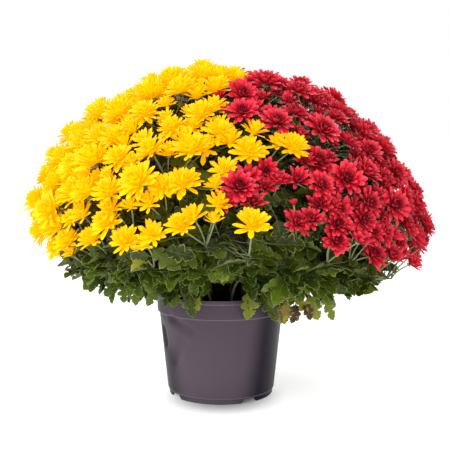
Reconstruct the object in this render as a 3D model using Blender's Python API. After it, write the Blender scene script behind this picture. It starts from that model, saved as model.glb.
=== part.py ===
"""Pot chrysanthemum: a yellow and a red garden mum grown into one dome, in a dark plastic nursery pot.

The pot stands on z = 0. The front is -Y. A heading is an angle in degrees round the crown, 0 at the
front and 90 on the right; a fall is the angle down from the top of the crown. Everything is in
metres. The pot's axis is on Z while the parts are made, and at the end the whole is moved so that
the middle of its footprint is there instead.
"""

import math

import bpy
import numpy as np
from mathutils import Matrix

# Pot
POT_HEIGHT = 0.152
RIM_RADIUS = 0.0950
SHOULDER_RADIUS = 0.0915
BASE_RADIUS = 0.0790
FOOT_RADIUS = 0.0770
RIM_BAND = 0.0275
WALL = 0.0018
FOOT_HEIGHT = 0.0072
FLOOR_TOP = 0.0086
LIP = 0.0009
LIP_DROP = 0.0056
COLLAR_STEP = 0.0008
WALL_RINGS = (0.058, 0.084, 0.106)
POT_SIDES = 30
SMOOTH_BELOW_DEG = 32
FOOT_COUNT = 4
NOTCH_DEG = 19.0
FIRST_NOTCH_DEG = 32.0
# Knocks in the wall: heading, height, half width in degrees, half height, depth
DENTS = (
    (-66.0, 0.090, 11.0, 0.022, 0.0026),
    (-40.0, 0.105, 12.0, 0.008, 0.0022),
    (-47.0, 0.068, 11.0, 0.016, 0.0014),
)

# Soil
SOIL_TOP = 0.134
SOIL_GAP = 0.0005
HOLE_DEPTH = 0.026
HOLE_SIDES = 6
FIT_GAP = 0.00035

# Crown: the dome on which the blooms sit
CROWN_X = 0.0120
CROWN_Z = 0.252
CROWN_RADIUS = 0.277
CROWN_RISE = 0.214
CROWN_DROP = 0.130
CROWN_NARROWING = 0.07

# Blooms
YELLOW, RED = "yellow", "red"
BLOOM_RADIUS = {YELLOW: 0.0250, RED: 0.0225}
BLOOM_SPACING = {YELLOW: 0.0354, RED: 0.0323}
RELAXED_SPACING = 1.24
RELAX_ROUNDS = 60
LOW_SPREAD = 1.36
PETALS = 5
VALLEY = 0.60
BLOOM_DEPTH = 0.17
LOWEST_FALL = 118
LOW_SIZE = 0.88
LEAN_UP = (0.30, 0.35)
SWAY = 0.14
BLOOM_SEED = 7
CANDIDATES = 7000
CELL_GAP = 0.0006
CELL_REACH = 0.006
# Where the two plants meet, as (fall, heading) down the front and down the back
FRONT_BORDER = (
    (0, 14), (17, 12), (30, -2), (37, -7), (43, -4), (48, 8), (52, 18), (56, 26),
    (60, 22), (63, 5), (67, -4), (77, -3), (79, 8), (82, 12), (90, 12), (125, 14),
)
BACK_BORDER = ((0, 194), (20, 184), (45, 172), (70, 183), (95, 176), (125, 178))
# Where the blooms end, as (heading, fall of the close ones, fall of the last single ones)
FLOWER_LINE = (
    (-180, 90, 104), (-120, 92, 106), (-90, 96, 112), (-62, 88, 104), (-45, 81, 98), (-30, 77, 91),
    (-18, 74, 91), (-8, 71, 89), (-2, 78, 89), (7, 79, 88), (11, 68, 87), (14, 64, 66),
    (17, 64, 67), (21, 74, 87), (30, 79, 95),
    (45, 92, 107), (62, 96, 111), (90, 98, 115), (120, 94, 108), (180, 90, 104),
)
CLOSE_SPRAYS = {YELLOW: 15, RED: 17}
LOW_SPRAYS = {YELLOW: 5, RED: 5}

# Stems and leaves
TRUNK_X = {YELLOW: -0.030, RED: 0.034}
TRUNK_RADIUS = 0.0048
TRUNK_TOP = 0.196
BRANCH_RADIUS = 0.0019
STALK_RADIUS = 0.0011
STALK_BEND = 0.022
BRANCH_ARCH = 0.015
FORK_IN = 0.045
FORK_DOWN = 0.014
FORK_FOOT = 0.012
SHOOT_COUNT = 12
SHOOT_RING = 0.056
SHOOT_RADIUS = 0.0022
SHOOT_LEVEL = 0.170
SHOOT_TOP = 0.212
# A shoot's way out over the rim: distance from the pot's axis, share of its climb
SHOOT_WAY = ((0.076, 0.0), (0.102, 0.35), (0.128, 0.70))
SHOOT_REACH = 0.154
SHOOT_CLEARANCE = 0.020
SHOOT_LEAVES = 6
SHOOT_DROOP = (0.40, 0.85)
SHOOT_SEED = 21
WEDGE_GAP = 0.0012
LEAF_LENGTH = 0.066
STEM_LEAF_LENGTH = 0.060
STEM_LEAF_HEIGHTS = (0.216, 0.315)
STEM_LEAF_REACH = 0.085
STEM_LEAF_CLEARANCE = 0.026
STEM_LEAF_SHARES = (0.66, 0.84)
STEM_SEED = 5
BORDER_HEADING = 8
BORDER_CLEARANCE = 0.020
LEAF_RIB = 0.0013
LEAF_SAG, LEAF_CUP = 0.16, 0.22
# Half outline of a leaf: how far along it and how far across, as shares of its length
LEAF_EDGE = ((0.31, 0.27), (0.45, 0.13), (0.68, 0.33), (0.73, 0.15))

COLOURS = {
    "pot": ((0.075, 0.062, 0.075), 0.38),
    "soil": ((0.030, 0.020, 0.014), 0.95),
    YELLOW: ((0.95, 0.58, 0.01), 0.55),
    RED: ((0.42, 0.010, 0.022), 0.55),
    "leaf": ((0.055, 0.110, 0.028), 0.50),
}


def finish(name):
    """The plain material of one kind of sub-part."""
    material = bpy.data.materials.get(name)
    if material is None:
        colour, roughness = COLOURS[name]
        material = bpy.data.materials.new(name)
        material.use_nodes = True
        shader = material.node_tree.nodes["Principled BSDF"]
        shader.inputs["Base Color"].default_value = (*colour, 1.0)
        shader.inputs["Roughness"].default_value = roughness
        shader.inputs["Metallic"].default_value = 0.0
    return material


def new_object(name, points, faces, kind, collection=None):
    mesh = bpy.data.meshes.new(name)
    mesh.from_pydata([tuple(p) for p in points], [], [tuple(f) for f in faces])
    mesh.materials.append(finish(kind))
    obj = bpy.data.objects.new(name, mesh)
    (collection or bpy.context.scene.collection).objects.link(obj)
    return obj


def boolean_with(obj, solids, kind, operation):
    """Joins the solids to obj, or cuts them from it, in one Boolean, and removes them."""
    helpers = bpy.data.collections.new("helpers")
    bpy.context.scene.collection.children.link(helpers)
    for points, faces in solids:
        new_object("helper", points, faces, kind, helpers)
    modifier = obj.modifiers.new(operation.lower(), "BOOLEAN")
    modifier.operation = operation
    modifier.operand_type = "COLLECTION"
    modifier.collection = helpers
    modifier.solver = "EXACT"
    bpy.context.view_layer.objects.active = obj
    bpy.ops.object.modifier_apply(modifier=modifier.name)
    for helper in list(helpers.objects):
        bpy.data.objects.remove(helper)
    bpy.data.collections.remove(helpers)


def fused(name, solids, kind):
    """One node from solids that overlap."""
    obj = new_object(name, *solids[0], kind)
    if len(solids) > 1:
        boolean_with(obj, solids[1:], kind, "UNION")


def unit(v):
    return v / np.linalg.norm(v)


def towards(heading):
    a = math.radians(heading)
    return np.array([math.sin(a), -math.cos(a), 0.0])


# Pot and soil


def dent_at(heading, z):
    """How far the wall is pushed in at a heading and a height."""
    depth = 0.0
    for at, height, half_width, half_height, most in DENTS:
        turn = (heading - at + 180) % 360 - 180
        depth += most * math.exp(-((turn / half_width) ** 2) - ((z - height) / half_height) ** 2)
    return depth


def turned(profile, sides, dented=False):
    """A closed solid from a profile of (radius, height), from the bottom of the axis to its top."""
    points = [(0, 0, profile[0][1])]
    for radius, z in profile[1:-1]:
        for k in range(sides):
            heading = 360 * k / sides
            r = radius - (dent_at(heading, z) if dented else 0.0)
            points.append(tuple(towards(heading) * r + np.array([0, 0, z])))
    points.append((0, 0, profile[-1][1]))
    faces = []
    rings = len(profile) - 2
    for k in range(sides):
        after = (k + 1) % sides
        faces.append((0, 1 + after, 1 + k))
        for ring in range(rings - 1):
            low, high = 1 + ring * sides, 1 + (ring + 1) * sides
            faces.append((low + k, low + after, high + after, high + k))
        last = 1 + (rings - 1) * sides
        faces.append((last + k, last + after, len(points) - 1))
    return points, faces


def wall_radius(z):
    """Outer radius of the tapered wall below the rim band."""
    band_bottom = POT_HEIGHT - RIM_BAND
    share = (z - FOOT_HEIGHT) / (band_bottom - FOOT_HEIGHT)
    return BASE_RADIUS + (SHOULDER_RADIUS - BASE_RADIUS) * share


def pot_profile():
    band = POT_HEIGHT - RIM_BAND
    outer_heights = (*WALL_RINGS, band - 0.0012)
    inner_heights = (band - 0.0030, *reversed(WALL_RINGS))
    return [
        (0, FOOT_HEIGHT - 0.0006),
        (FOOT_RADIUS - 0.0026, FOOT_HEIGHT - 0.0006),
        (FOOT_RADIUS - 0.0022, 0),
        (FOOT_RADIUS - 0.0002, 0),
        (FOOT_RADIUS + 0.0004, FOOT_HEIGHT),
        (BASE_RADIUS, FOOT_HEIGHT + 0.0012),
        *[(wall_radius(z), z) for z in outer_heights],
        (RIM_RADIUS - 0.0006, band),
        (RIM_RADIUS, POT_HEIGHT - LIP_DROP - 0.0012),
        (RIM_RADIUS + LIP, POT_HEIGHT - LIP_DROP),
        (RIM_RADIUS + LIP, POT_HEIGHT - 0.0008),
        (RIM_RADIUS, POT_HEIGHT),
        (RIM_RADIUS - WALL, POT_HEIGHT - 0.0004),
        (RIM_RADIUS - WALL - COLLAR_STEP, band + 0.0004),
        *[(wall_radius(z) - WALL, z) for z in inner_heights],
        (BASE_RADIUS - WALL - 0.0010, FLOOR_TOP),
        (0, FLOOR_TOP),
    ]


def notch(heading):
    """A wedge with leaning sides that takes a drain gap out of the foot ring."""
    half_top, half_bottom = NOTCH_DEG * 0.32, NOTCH_DEG * 0.5
    near, far = FOOT_RADIUS - 0.010, FOOT_RADIUS + 0.010
    points = []
    for half, z in ((half_bottom, -0.004), (half_top, FOOT_HEIGHT - 0.0012)):
        for turn, r in ((half, near), (-half, near), (-half, far), (half, far)):
            points.append(tuple(towards(heading + turn) * r + np.array([0, 0, z])))
    faces = [(3, 2, 1, 0), (4, 5, 6, 7)]
    faces += [(k, (k + 1) % 4, (k + 1) % 4 + 4, k + 4) for k in range(4)]
    return points, faces


def make_pot():
    pot = new_object("pot", *turned(pot_profile(), POT_SIDES, dented=True), "pot")
    notches = [notch(FIRST_NOTCH_DEG + 360 / FOOT_COUNT * k) for k in range(FOOT_COUNT)]
    boolean_with(pot, notches, "pot", "DIFFERENCE")
    pot.data.shade_smooth()
    pot.data.set_sharp_from_angle(angle=math.radians(SMOOTH_BELOW_DEG))


def hole(place, radius):
    low = SOIL_TOP - HOLE_DEPTH - FIT_GAP
    return tube([(place[0], place[1], low), (place[0], place[1], SOIL_TOP + 0.02)],
                [radius, radius], HOLE_SIDES)


def make_soil(holes):
    band = POT_HEIGHT - RIM_BAND
    middle = WALL_RINGS[1]
    deepest = max(dent_at(heading, z) for heading in range(-180, 180) for z in WALL_RINGS)
    clear = WALL + deepest
    collar = RIM_RADIUS - WALL - COLLAR_STEP - SOIL_GAP
    profile = [
        (0, FLOOR_TOP + FIT_GAP),
        (BASE_RADIUS - WALL - 0.0022, FLOOR_TOP + FIT_GAP),
        (wall_radius(middle) - clear - SOIL_GAP, middle),
        (SHOULDER_RADIUS - clear, band - 0.0045),
        (collar, band + 0.0012),
        (collar, SOIL_TOP - 0.0010),
        (0.060, SOIL_TOP),
        (0, SOIL_TOP),
    ]
    soil = new_object("soil", *turned(profile, POT_SIDES), "soil")
    boolean_with(soil, [hole(place, radius) for place, radius in holes], "soil", "DIFFERENCE")


# Tubes


def tube(path, radii, sides):
    """A closed tube with flat ends round a path of points."""
    path = [np.array(p, float) for p in path]
    points, faces = [], []
    side = None
    for k, p in enumerate(path):
        along = unit(path[min(k + 1, len(path) - 1)] - path[max(k - 1, 0)])
        if side is None:
            helper = np.array([1.0, 0, 0]) if abs(along[0]) < 0.8 else np.array([0, 1.0, 0])
            side = unit(np.cross(along, helper))
        else:
            side = unit(side - along * (side @ along))
        other = np.cross(along, side)
        for n in range(sides):
            a = 2 * math.pi * n / sides
            points.append(p + radii[k] * (math.cos(a) * side + math.sin(a) * other))
    for k in range(len(path) - 1):
        for n in range(sides):
            m = (n + 1) % sides
            low, high = k * sides, (k + 1) * sides
            faces.append((low + n, low + m, high + m, high + n))
    faces.append(tuple(reversed(range(sides))))
    faces.append(tuple(range((len(path) - 1) * sides, len(path) * sides)))
    return points, faces


def bent_path(start, middle, end, steps):
    """Points on the curve that leaves start towards middle and arrives at end from it."""
    start, middle, end = (np.array(p, float) for p in (start, middle, end))
    shares = np.linspace(0, 1, steps + 1)
    return [(1 - t) ** 2 * start + 2 * t * (1 - t) * middle + t * t * end for t in shares]


# Blooms


def crown_point(heading, fall):
    """A point on the dome of the crown, and the dome's outward direction there."""
    f = math.radians(fall)
    narrow = 1 - CROWN_NARROWING * math.sin(2 * f) ** 2 if fall < 90 else 1.0
    rise = CROWN_RISE if fall < 90 else CROWN_DROP
    out = towards(heading)
    point = np.array([CROWN_X, 0, CROWN_Z]) + out * CROWN_RADIUS * narrow * math.sin(f)
    point[2] += rise * math.cos(f)
    normal = unit(out * math.sin(f) / CROWN_RADIUS + np.array([0, 0, math.cos(f) / rise]))
    return point, normal


def colour_at(heading, fall):
    front = np.interp(fall, *zip(*FRONT_BORDER))
    back = np.interp(fall, *zip(*BACK_BORDER))
    return RED if (heading - front) % 360 < back - front else YELLOW


def line_at(heading):
    """At a heading, the fall of the last close bloom and of the last single one."""
    line = list(zip(*FLOWER_LINE))
    return np.interp(heading, line[0], line[1]), np.interp(heading, line[0], line[2])


def moved_place(place, push):
    """A place on the dome after a small push across it."""
    heading, fall = place
    point = crown_point(heading, fall)[0]
    south = crown_point(heading, fall + 1)[0] - point
    reach = max(math.hypot(point[0] - CROWN_X, point[1]), 0.02)
    heading += math.degrees(push @ towards(heading + 90) / reach)
    fall += push @ south / (south @ south)
    return (heading + 180, -fall) if fall < 0 else (heading, fall)


def spread_out(places, spreads):
    """Neighbours closer than their spacing are pushed apart over the dome, a little at a time."""
    low = [fall > line_at(heading)[0] for heading, fall in places]
    for _ in range(RELAX_ROUNDS):
        points = np.array([crown_point(*place)[0] for place in places])
        apart = points[:, None] - points[None]
        distance = np.linalg.norm(apart, axis=2) + np.eye(len(points))
        wanted = (spreads[:, None] + spreads[None]) / 2
        share = np.where(distance < wanted, (wanted - distance) / distance, 0.0)
        np.fill_diagonal(share, 0.0)
        pushes = 0.25 * (apart * share[:, :, None]).sum(1)
        for k, push in enumerate(pushes):
            heading, fall = moved_place(places[k], push)
            heading = (heading + 180) % 360 - 180
            close_to, last = line_at(heading)
            limits = (close_to + 0.5, max(last, close_to + 1)) if low[k] else (0, close_to - 0.1)
            places[k] = (heading, min(max(fall, limits[0]), limits[1]))
    return places


def bloom_places():
    """Every bloom as a dict. Blooms are thrown on the crown at random and then spread out evenly."""
    rng = np.random.default_rng(BLOOM_SEED)
    headings = rng.uniform(-180, 180, CANDIDATES)
    falls = np.degrees(np.arccos(rng.uniform(math.cos(math.radians(LOWEST_FALL)), 1, CANDIDATES)))
    places, points, spreads = [], np.empty((0, 3)), np.empty(0)
    for heading, fall in zip(headings, falls):
        close_to, last = line_at(heading)
        if fall > last:
            continue
        spread = BLOOM_SPACING[colour_at(heading, fall)] * (LOW_SPREAD if fall > close_to else 1)
        point = crown_point(heading, fall)[0]
        if len(points) and (np.linalg.norm(points - point, axis=1) < (spreads + spread) / 2).any():
            continue
        places.append((heading, fall))
        points = np.vstack([points, point])
        spreads = np.append(spreads, spread)

    blooms = []
    for heading, fall in spread_out(places, spreads * RELAXED_SPACING):
        close_to = line_at(heading)[0]
        colour, low = colour_at(heading, fall), bool(fall > close_to)
        point, normal = crown_point(heading, fall)
        sway = rng.normal(0, SWAY, 3)
        lean = LEAN_UP[0] + LEAN_UP[1] * math.sin(math.radians(fall))
        axis = unit(normal + lean * np.array([0, 0, 1.0]) + sway)
        size = rng.uniform(0.90, 1.06) * (LOW_SIZE if low else 1.0)
        blooms.append({
            "centre": point + normal * rng.uniform(-0.006, 0.004),
            "axis": axis,
            "radius": BLOOM_RADIUS[colour] * size,
            "turn": rng.uniform(0, 2 * math.pi),
            "colour": colour,
            "low": low,
        })
    return blooms


def bloom_frame(bloom):
    """The bloom's three directions: two in its face and its axis."""
    axis = bloom["axis"]
    helper = np.array([0, 0, 1.0]) if abs(axis[2]) < 0.9 else np.array([1.0, 0, 0])
    first = unit(np.cross(helper, axis))
    second = np.cross(axis, first)
    c, s = math.cos(bloom["turn"]), math.sin(bloom["turn"])
    return c * first + s * second, c * second - s * first, axis


def cell_walls(bloom, blooms):
    """The planes between a bloom and its neighbours, as (direction, reach), that its petals stop at."""
    walls = []
    for other in blooms:
        gap = other["centre"] - bloom["centre"]
        distance = np.linalg.norm(gap)
        if other is not bloom and distance < bloom["radius"] + other["radius"] + CELL_REACH:
            share = bloom["radius"] / (bloom["radius"] + other["radius"])
            walls.append((gap / distance, distance * share - CELL_GAP / 2))
    return walls


def drawn_in(offset, walls):
    """An offset from a bloom's centre, shortened where it would cross a wall of its cell."""
    share = 1.0
    for direction, reach in walls:
        ahead = offset @ direction
        if ahead > reach:
            share = min(share, reach / ahead)
    return offset * share


def bloom_solid(bloom, walls, held_by=None):
    """A rosette of two layers of petals, the upper ones over the gaps of the lower ones. Its first
    petal reaches into the bloom that holds it."""
    aim = None
    if held_by is not None:
        back = bloom["centre"] - held_by["centre"]
        flat = unit(back - held_by["axis"] * (back @ held_by["axis"]))
        size = held_by["radius"]
        aim = -back + flat * size * 0.30 + held_by["axis"] * size * 0.08
        first, second, _ = bloom_frame(bloom)
        bloom["turn"] += math.atan2(aim @ second, aim @ first)
    x, y, z = bloom_frame(bloom)
    size = bloom["radius"]
    outer, inner = [], []
    for k in range(2 * PETALS):
        a = math.pi * k / PETALS
        ray = math.cos(a) * x + math.sin(a) * y
        if k % 2 == 0:
            outer.append(size * (ray + 0.06 * z))
        else:
            outer.append(size * (VALLEY * ray - 0.08 * z))
            inner.append(size * (0.66 * ray + 0.46 * z))
    if aim is not None:
        steep = max(0.0, (aim @ z) / np.linalg.norm(aim))
        for k in (0, -1):
            inner[k] += steep * (0.25 * size * z - 0.5 * (inner[k] - (inner[k] @ z) * z))
    offsets = outer + inner + [size * 0.24 * z, -size * BLOOM_DEPTH * z]
    offsets = [drawn_in(offset, walls) for offset in offsets]
    if aim is not None:
        offsets[0] = aim
    top, bottom = 3 * PETALS, 3 * PETALS + 1
    faces = []
    for k in range(PETALS):
        tip, valley, following = 2 * k, 2 * k + 1, (2 * k + 2) % (2 * PETALS)
        before, here = 2 * PETALS + (k - 1) % PETALS, 2 * PETALS + k
        faces += [(before, tip, here), (tip, valley, here), (valley, following, here)]
        faces += [(before, here, top), (valley, tip, bottom), (following, valley, bottom)]
    return [bloom["centre"] + offset for offset in offsets], faces


def groups_of(blooms, count):
    """The blooms split into sprays of near neighbours."""
    centres = np.array([b["centre"] for b in blooms])
    seeds = [centres[0]]
    while len(seeds) < min(count, len(centres)):
        nearest = np.min([np.linalg.norm(centres - s, axis=1) for s in seeds], axis=0)
        seeds.append(centres[nearest.argmax()])
    seeds = np.array(seeds)
    for _ in range(25):
        owner = np.linalg.norm(centres[:, None] - seeds[None], axis=2).argmin(1)
        seeds = np.array([centres[owner == k].mean(0) if (owner == k).any() else seeds[k]
                          for k in range(len(seeds))])
    return [[b for b, o in zip(blooms, owner) if o == k] for k in range(len(seeds)) if (owner == k).any()]


def hub_of(spray):
    """The bloom nearest the middle of its spray."""
    middle = np.mean([b["centre"] for b in spray], axis=0)
    return min(spray, key=lambda b: np.linalg.norm(b["centre"] - middle))


def holders(spray):
    """Pairs of (bloom, the neighbour that holds it), from the hub outwards, over the shortest links."""
    hub = hub_of(spray)
    held, waiting, pairs = [hub], [b for b in spray if b is not hub], [(hub, None)]
    while waiting:
        bloom, holder = min(
            ((b, h) for b in waiting for h in held),
            key=lambda pair: np.linalg.norm(pair[0]["centre"] - pair[1]["centre"]),
        )
        pairs.append((bloom, holder))
        held.append(bloom)
        waiting = [b for b in waiting if b is not bloom]
    return pairs


def fork_of(spray):
    """Where the stalks of a low spray meet, inward of its blooms and below them."""
    middle = np.mean([b["centre"] for b in spray], axis=0)
    inward = unit(np.array([CROWN_X - middle[0], -middle[1], 0.0]))
    return middle + inward * FORK_IN - np.array([0, 0, FORK_DOWN])


def fork_foot(spray):
    """The end of the short stem under a fork, where the branch takes over, and the way it points."""
    fork = fork_of(spray)
    x, y = trunk_place(spray[0]["colour"])
    middle = 0.5 * (fork + np.array([x, y, 0]))
    middle[2] = max(fork[2], TRUNK_TOP) + BRANCH_ARCH
    back = unit(middle - fork)
    return fork + back * FORK_FOOT, back


def make_close_spray(name, spray, blooms):
    solids = [bloom_solid(b, cell_walls(b, blooms), holder) for b, holder in holders(spray)]
    fused(name, solids, spray[0]["colour"])


def stalk(bloom, fork):
    """The bare stalk that carries one bloom of a low spray."""
    end = bloom["centre"] + bloom["axis"] * bloom["radius"] * 0.02
    middle = bloom["centre"] - bloom["axis"] * STALK_BEND
    return tube(bent_path(fork, middle, end, 2), [STALK_RADIUS * 1.3, STALK_RADIUS, STALK_RADIUS], 3)


def make_low_spray(name, spray, blooms):
    fork = fork_of(spray)
    end, back = fork_foot(spray)
    solids = [tube([end, fork - back * 0.002], [BRANCH_RADIUS, BRANCH_RADIUS], 4)]
    for bloom in spray:
        solids += [stalk(bloom, fork), bloom_solid(bloom, cell_walls(bloom, blooms))]
    fused(name, solids, spray[0]["colour"])


# Stems and leafy shoots


def trunk_place(colour):
    return np.array([TRUNK_X[colour], 0.0])


def branch(colour, end, arrival):
    """The start, middle and end of a branch that reaches its end along a direction."""
    x, y = trunk_place(colour)
    out = end - np.array([x, y, TRUNK_TOP])
    steep = min(1.0, max(0.0, out[2] / 0.20))
    start = np.array([x, y, TRUNK_TOP - 0.006 - 0.016 * (1 - steep)])
    reach = np.linalg.norm(end - start)
    return start, end - arrival * reach * 0.45, end


def stem_leaves(colour, branches, blooms, low):
    """The leaves along the outer branches of one plant, where they are clear of all else."""
    rng = np.random.default_rng([STEM_SEED, len(colour)])
    side = -1 if colour == YELLOW else 1
    border = side * towards(BORDER_HEADING + 90)
    taken = [b["centre"] for b in blooms]
    taken += [b["centre"] - b["axis"] * STALK_BEND for b in blooms if b["low"]]
    for spray in low:
        fork = fork_of(spray)
        end, back = fork_foot(spray)
        taken += [fork, end, end + back * STALK_BEND]
    taken = np.array(taken)
    leaves = []
    for start, middle, end in branches:
        for n, share in enumerate(STEM_LEAF_SHARES):
            knee = 0.25 * start + 0.5 * middle + 0.25 * end
            root = knee + (end - knee) * (2 * share - 1)
            along = unit(end - knee)
            hand = 1 if n % 2 else -1
            turn = math.radians(hand * rng.uniform(40, 62))
            across = unit(np.cross(along, [0, 0, 1.0]))
            direction = math.cos(turn) * along + math.sin(turn) * across
            direction = unit(direction - np.array([0, 0, direction[2] + rng.uniform(0.2, 0.6)]))
            face = unit(root * (1, 1, 0)) + np.array([0, 0, 0.7]) + rng.normal(0, 0.15, 3)
            length = STEM_LEAF_LENGTH * rng.uniform(0.88, 1.08)
            spine = root + np.outer((0.0, 0.35, 0.7, 1.0), direction * length)
            near = np.linalg.norm(taken[:, None] - spine[None], axis=2).min()
            if near < STEM_LEAF_CLEARANCE or math.hypot(root[0], root[1]) < STEM_LEAF_REACH:
                continue
            if not STEM_LEAF_HEIGHTS[0] < root[2] < STEM_LEAF_HEIGHTS[1]:
                continue
            if (spine @ border).min() < BORDER_CLEARANCE + CROWN_X * max(0, side):
                continue
            leaves.append({
                "root": root,
                "direction": direction,
                "face": unit(face - direction * (face @ direction)),
                "length": length,
                "walls": [],
            })
    return leaves


def make_stem(colour, close, low, blooms):
    """One plant's trunk and the branches that carry its sprays."""
    x, y = trunk_place(colour)
    foot = SOIL_TOP - HOLE_DEPTH
    heights = (foot, SOIL_TOP + 0.01, TRUNK_TOP)
    solids = [tube([(x, y, z) for z in heights], [TRUNK_RADIUS, TRUNK_RADIUS, TRUNK_RADIUS * 0.8], 6)]
    branches = []
    for spray in close:
        hub = hub_of(spray)
        end = hub["centre"] - hub["axis"] * (hub["radius"] * BLOOM_DEPTH + FIT_GAP)
        branches.append(branch(colour, end, hub["axis"]))
    for spray in low:
        end, back = fork_foot(spray)
        branches.append(branch(colour, end + back * FIT_GAP, -back))
    radii = np.linspace(BRANCH_RADIUS * 1.25, BRANCH_RADIUS * 0.8, 3)
    solids += [tube(bent_path(*points, 2), radii, 3) for points in branches]
    solids += [leaf_solid(leaf) for leaf in stem_leaves(colour, branches, blooms, low)]
    fused(colour + "_stem", solids, "leaf")


def shoot_heading(k):
    return 360 * (k + 0.5) / SHOOT_COUNT - 180


def shoot_path(k):
    """A leafy shoot's way from the soil, over the rim and out to just under the flowers."""
    heading = shoot_heading(k)
    last_bloom, _ = crown_point(heading, line_at(heading)[1])
    out = towards(heading)
    climb = min(last_bloom[2] - SHOOT_CLEARANCE, SHOOT_TOP) - SHOOT_LEVEL
    profile = [(SHOOT_RING, SOIL_TOP - HOLE_DEPTH), (SHOOT_RING, SOIL_TOP + 0.012)]
    profile += [(reach, SHOOT_LEVEL + share * climb) for reach, share in SHOOT_WAY]
    profile.append((SHOOT_REACH + 0.7 * climb, SHOOT_LEVEL + climb))
    return [out * reach + np.array([0, 0, z]) for reach, z in profile]


def along_path(path, share):
    """The point and direction a share of the way along the part of a path that bears leaves."""
    legs = path[2:]
    lengths = [np.linalg.norm(b - a) for a, b in zip(legs, legs[1:])]
    left = share * sum(lengths)
    for a, b, length in zip(legs, legs[1:], lengths):
        if left <= length or b is legs[-1]:
            return a + (b - a) * min(1.0, left / length), unit(b - a)
        left -= length


def shoot_leaves(k, path):
    """The leaves of one shoot as dicts: root, direction, face and length. They stand left and right
    in turn, and the last one ends the shoot."""
    rng = np.random.default_rng([SHOOT_SEED, k])
    leaves = []
    for n in range(SHOOT_LEAVES):
        share = 0.20 + 0.80 * n / (SHOOT_LEAVES - 1)
        root, along = along_path(path, share)
        last = n == SHOOT_LEAVES - 1
        hand = 0 if last else (1 if n % 2 else -1)
        turn = math.radians(hand * (34 + 26 * share + rng.uniform(-7, 7)))
        across = unit(np.cross(along, [0, 0, 1.0]))
        droop = rng.uniform(*SHOOT_DROOP) - (0.30 if last else 0.0)
        direction = unit(math.cos(turn) * along + math.sin(turn) * across + np.array([0, 0, -droop]))
        face = towards(shoot_heading(k)) + np.array([0, 0, 0.75]) + rng.normal(0, 0.15, 3)
        leaves.append({
            "root": root,
            "direction": direction,
            "face": unit(face - direction * (face @ direction)),
            "length": LEAF_LENGTH * rng.uniform(0.86, 1.05) * (0.86 + 0.14 * share),
            "walls": wedge_walls(k),
        })
    return leaves


def wedge_walls(k):
    """The two upright planes between a shoot and its neighbours, as (direction, reach)."""
    half = 180 / SHOOT_COUNT
    walls = []
    for hand in (-1, 1):
        edge = towards(shoot_heading(k) + hand * half)
        walls.append((np.array([-edge[1], edge[0], 0.0]) * hand, -WEDGE_GAP / 2))
    return walls


def leaf_solid(leaf):
    """A lobed blade with a thick rib, bent down towards its tip and kept between its shoot's walls."""
    u, w = leaf["direction"], leaf["face"]
    v = np.cross(w, u)
    length, walls = leaf["length"], leaf["walls"]

    def at(along, across, lift):
        sag = LEAF_SAG * along ** 2 - LEAF_CUP * abs(across)
        middle = leaf["root"] + length * (along * u - sag * w) + lift * w
        offset = length * across * v
        for direction, reach in walls:
            ahead, side = middle @ direction, offset @ direction
            if side > 0 and ahead + side > reach:
                offset = offset * max(0.15, (reach - ahead) / side)
        return middle + offset

    half = LEAF_RIB / 2
    right = [at(a, c, 0) for a, c in LEAF_EDGE]
    left = [at(a, -c, 0) for a, c in LEAF_EDGE]
    ring = [*right, at(1, 0, 0), *reversed(left)]
    points = [*ring, at(0, 0, half), at(0, 0, -half), at(0.5, 0, half), at(0.5, 0, -half)]
    count = len(ring)
    root_top, root_low, top, low = range(count, count + 4)
    faces = [(root_top, top, 0), (root_low, 0, low), (root_low, root_top, 0)]
    for k in range(count - 1):
        faces += [(k, top, k + 1), (k, k + 1, low)]
    faces += [(count - 1, top, root_top), (count - 1, root_low, low), (root_top, root_low, count - 1)]
    return points, faces


def make_shoot(k):
    path = shoot_path(k)
    radii = np.linspace(SHOOT_RADIUS, SHOOT_RADIUS * 0.55, len(path))
    solids = [tube(path, radii, 4)] + [leaf_solid(leaf) for leaf in shoot_leaves(k, path)]
    fused(f"leafy_shoot_{k + 1:02d}", solids, "leaf")


def centre_on_axis():
    """Moves the whole plant so that the middle of its footprint is on the Z axis."""
    corners = np.array([v.co for obj in bpy.data.objects for v in obj.data.vertices])
    middle = (corners.min(0) + corners.max(0)) / 2
    for obj in bpy.data.objects:
        obj.data.transform(Matrix.Translation((-middle[0], -middle[1], 0)))


def main():
    for obj in list(bpy.data.objects):
        bpy.data.objects.remove(obj)
    make_pot()
    blooms = bloom_places()
    holes = [(towards(shoot_heading(k)) * SHOOT_RING, SHOOT_RADIUS + 0.0006) for k in range(SHOOT_COUNT)]
    for colour in (YELLOW, RED):
        holes.append((trunk_place(colour), TRUNK_RADIUS + 0.0012))
        of_colour = [b for b in blooms if b["colour"] == colour]
        close = groups_of([b for b in of_colour if not b["low"]], CLOSE_SPRAYS[colour])
        low = groups_of([b for b in of_colour if b["low"]], LOW_SPRAYS[colour])
        for n, spray in enumerate(close):
            make_close_spray(f"{colour}_spray_{n + 1:02d}", spray, blooms)
        for n, spray in enumerate(low):
            make_low_spray(f"{colour}_low_spray_{n + 1:02d}", spray, blooms)
        make_stem(colour, close, low, blooms)
    make_soil(holes)
    for k in range(SHOOT_COUNT):
        make_shoot(k)
    centre_on_axis()


main()
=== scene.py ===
import math

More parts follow.
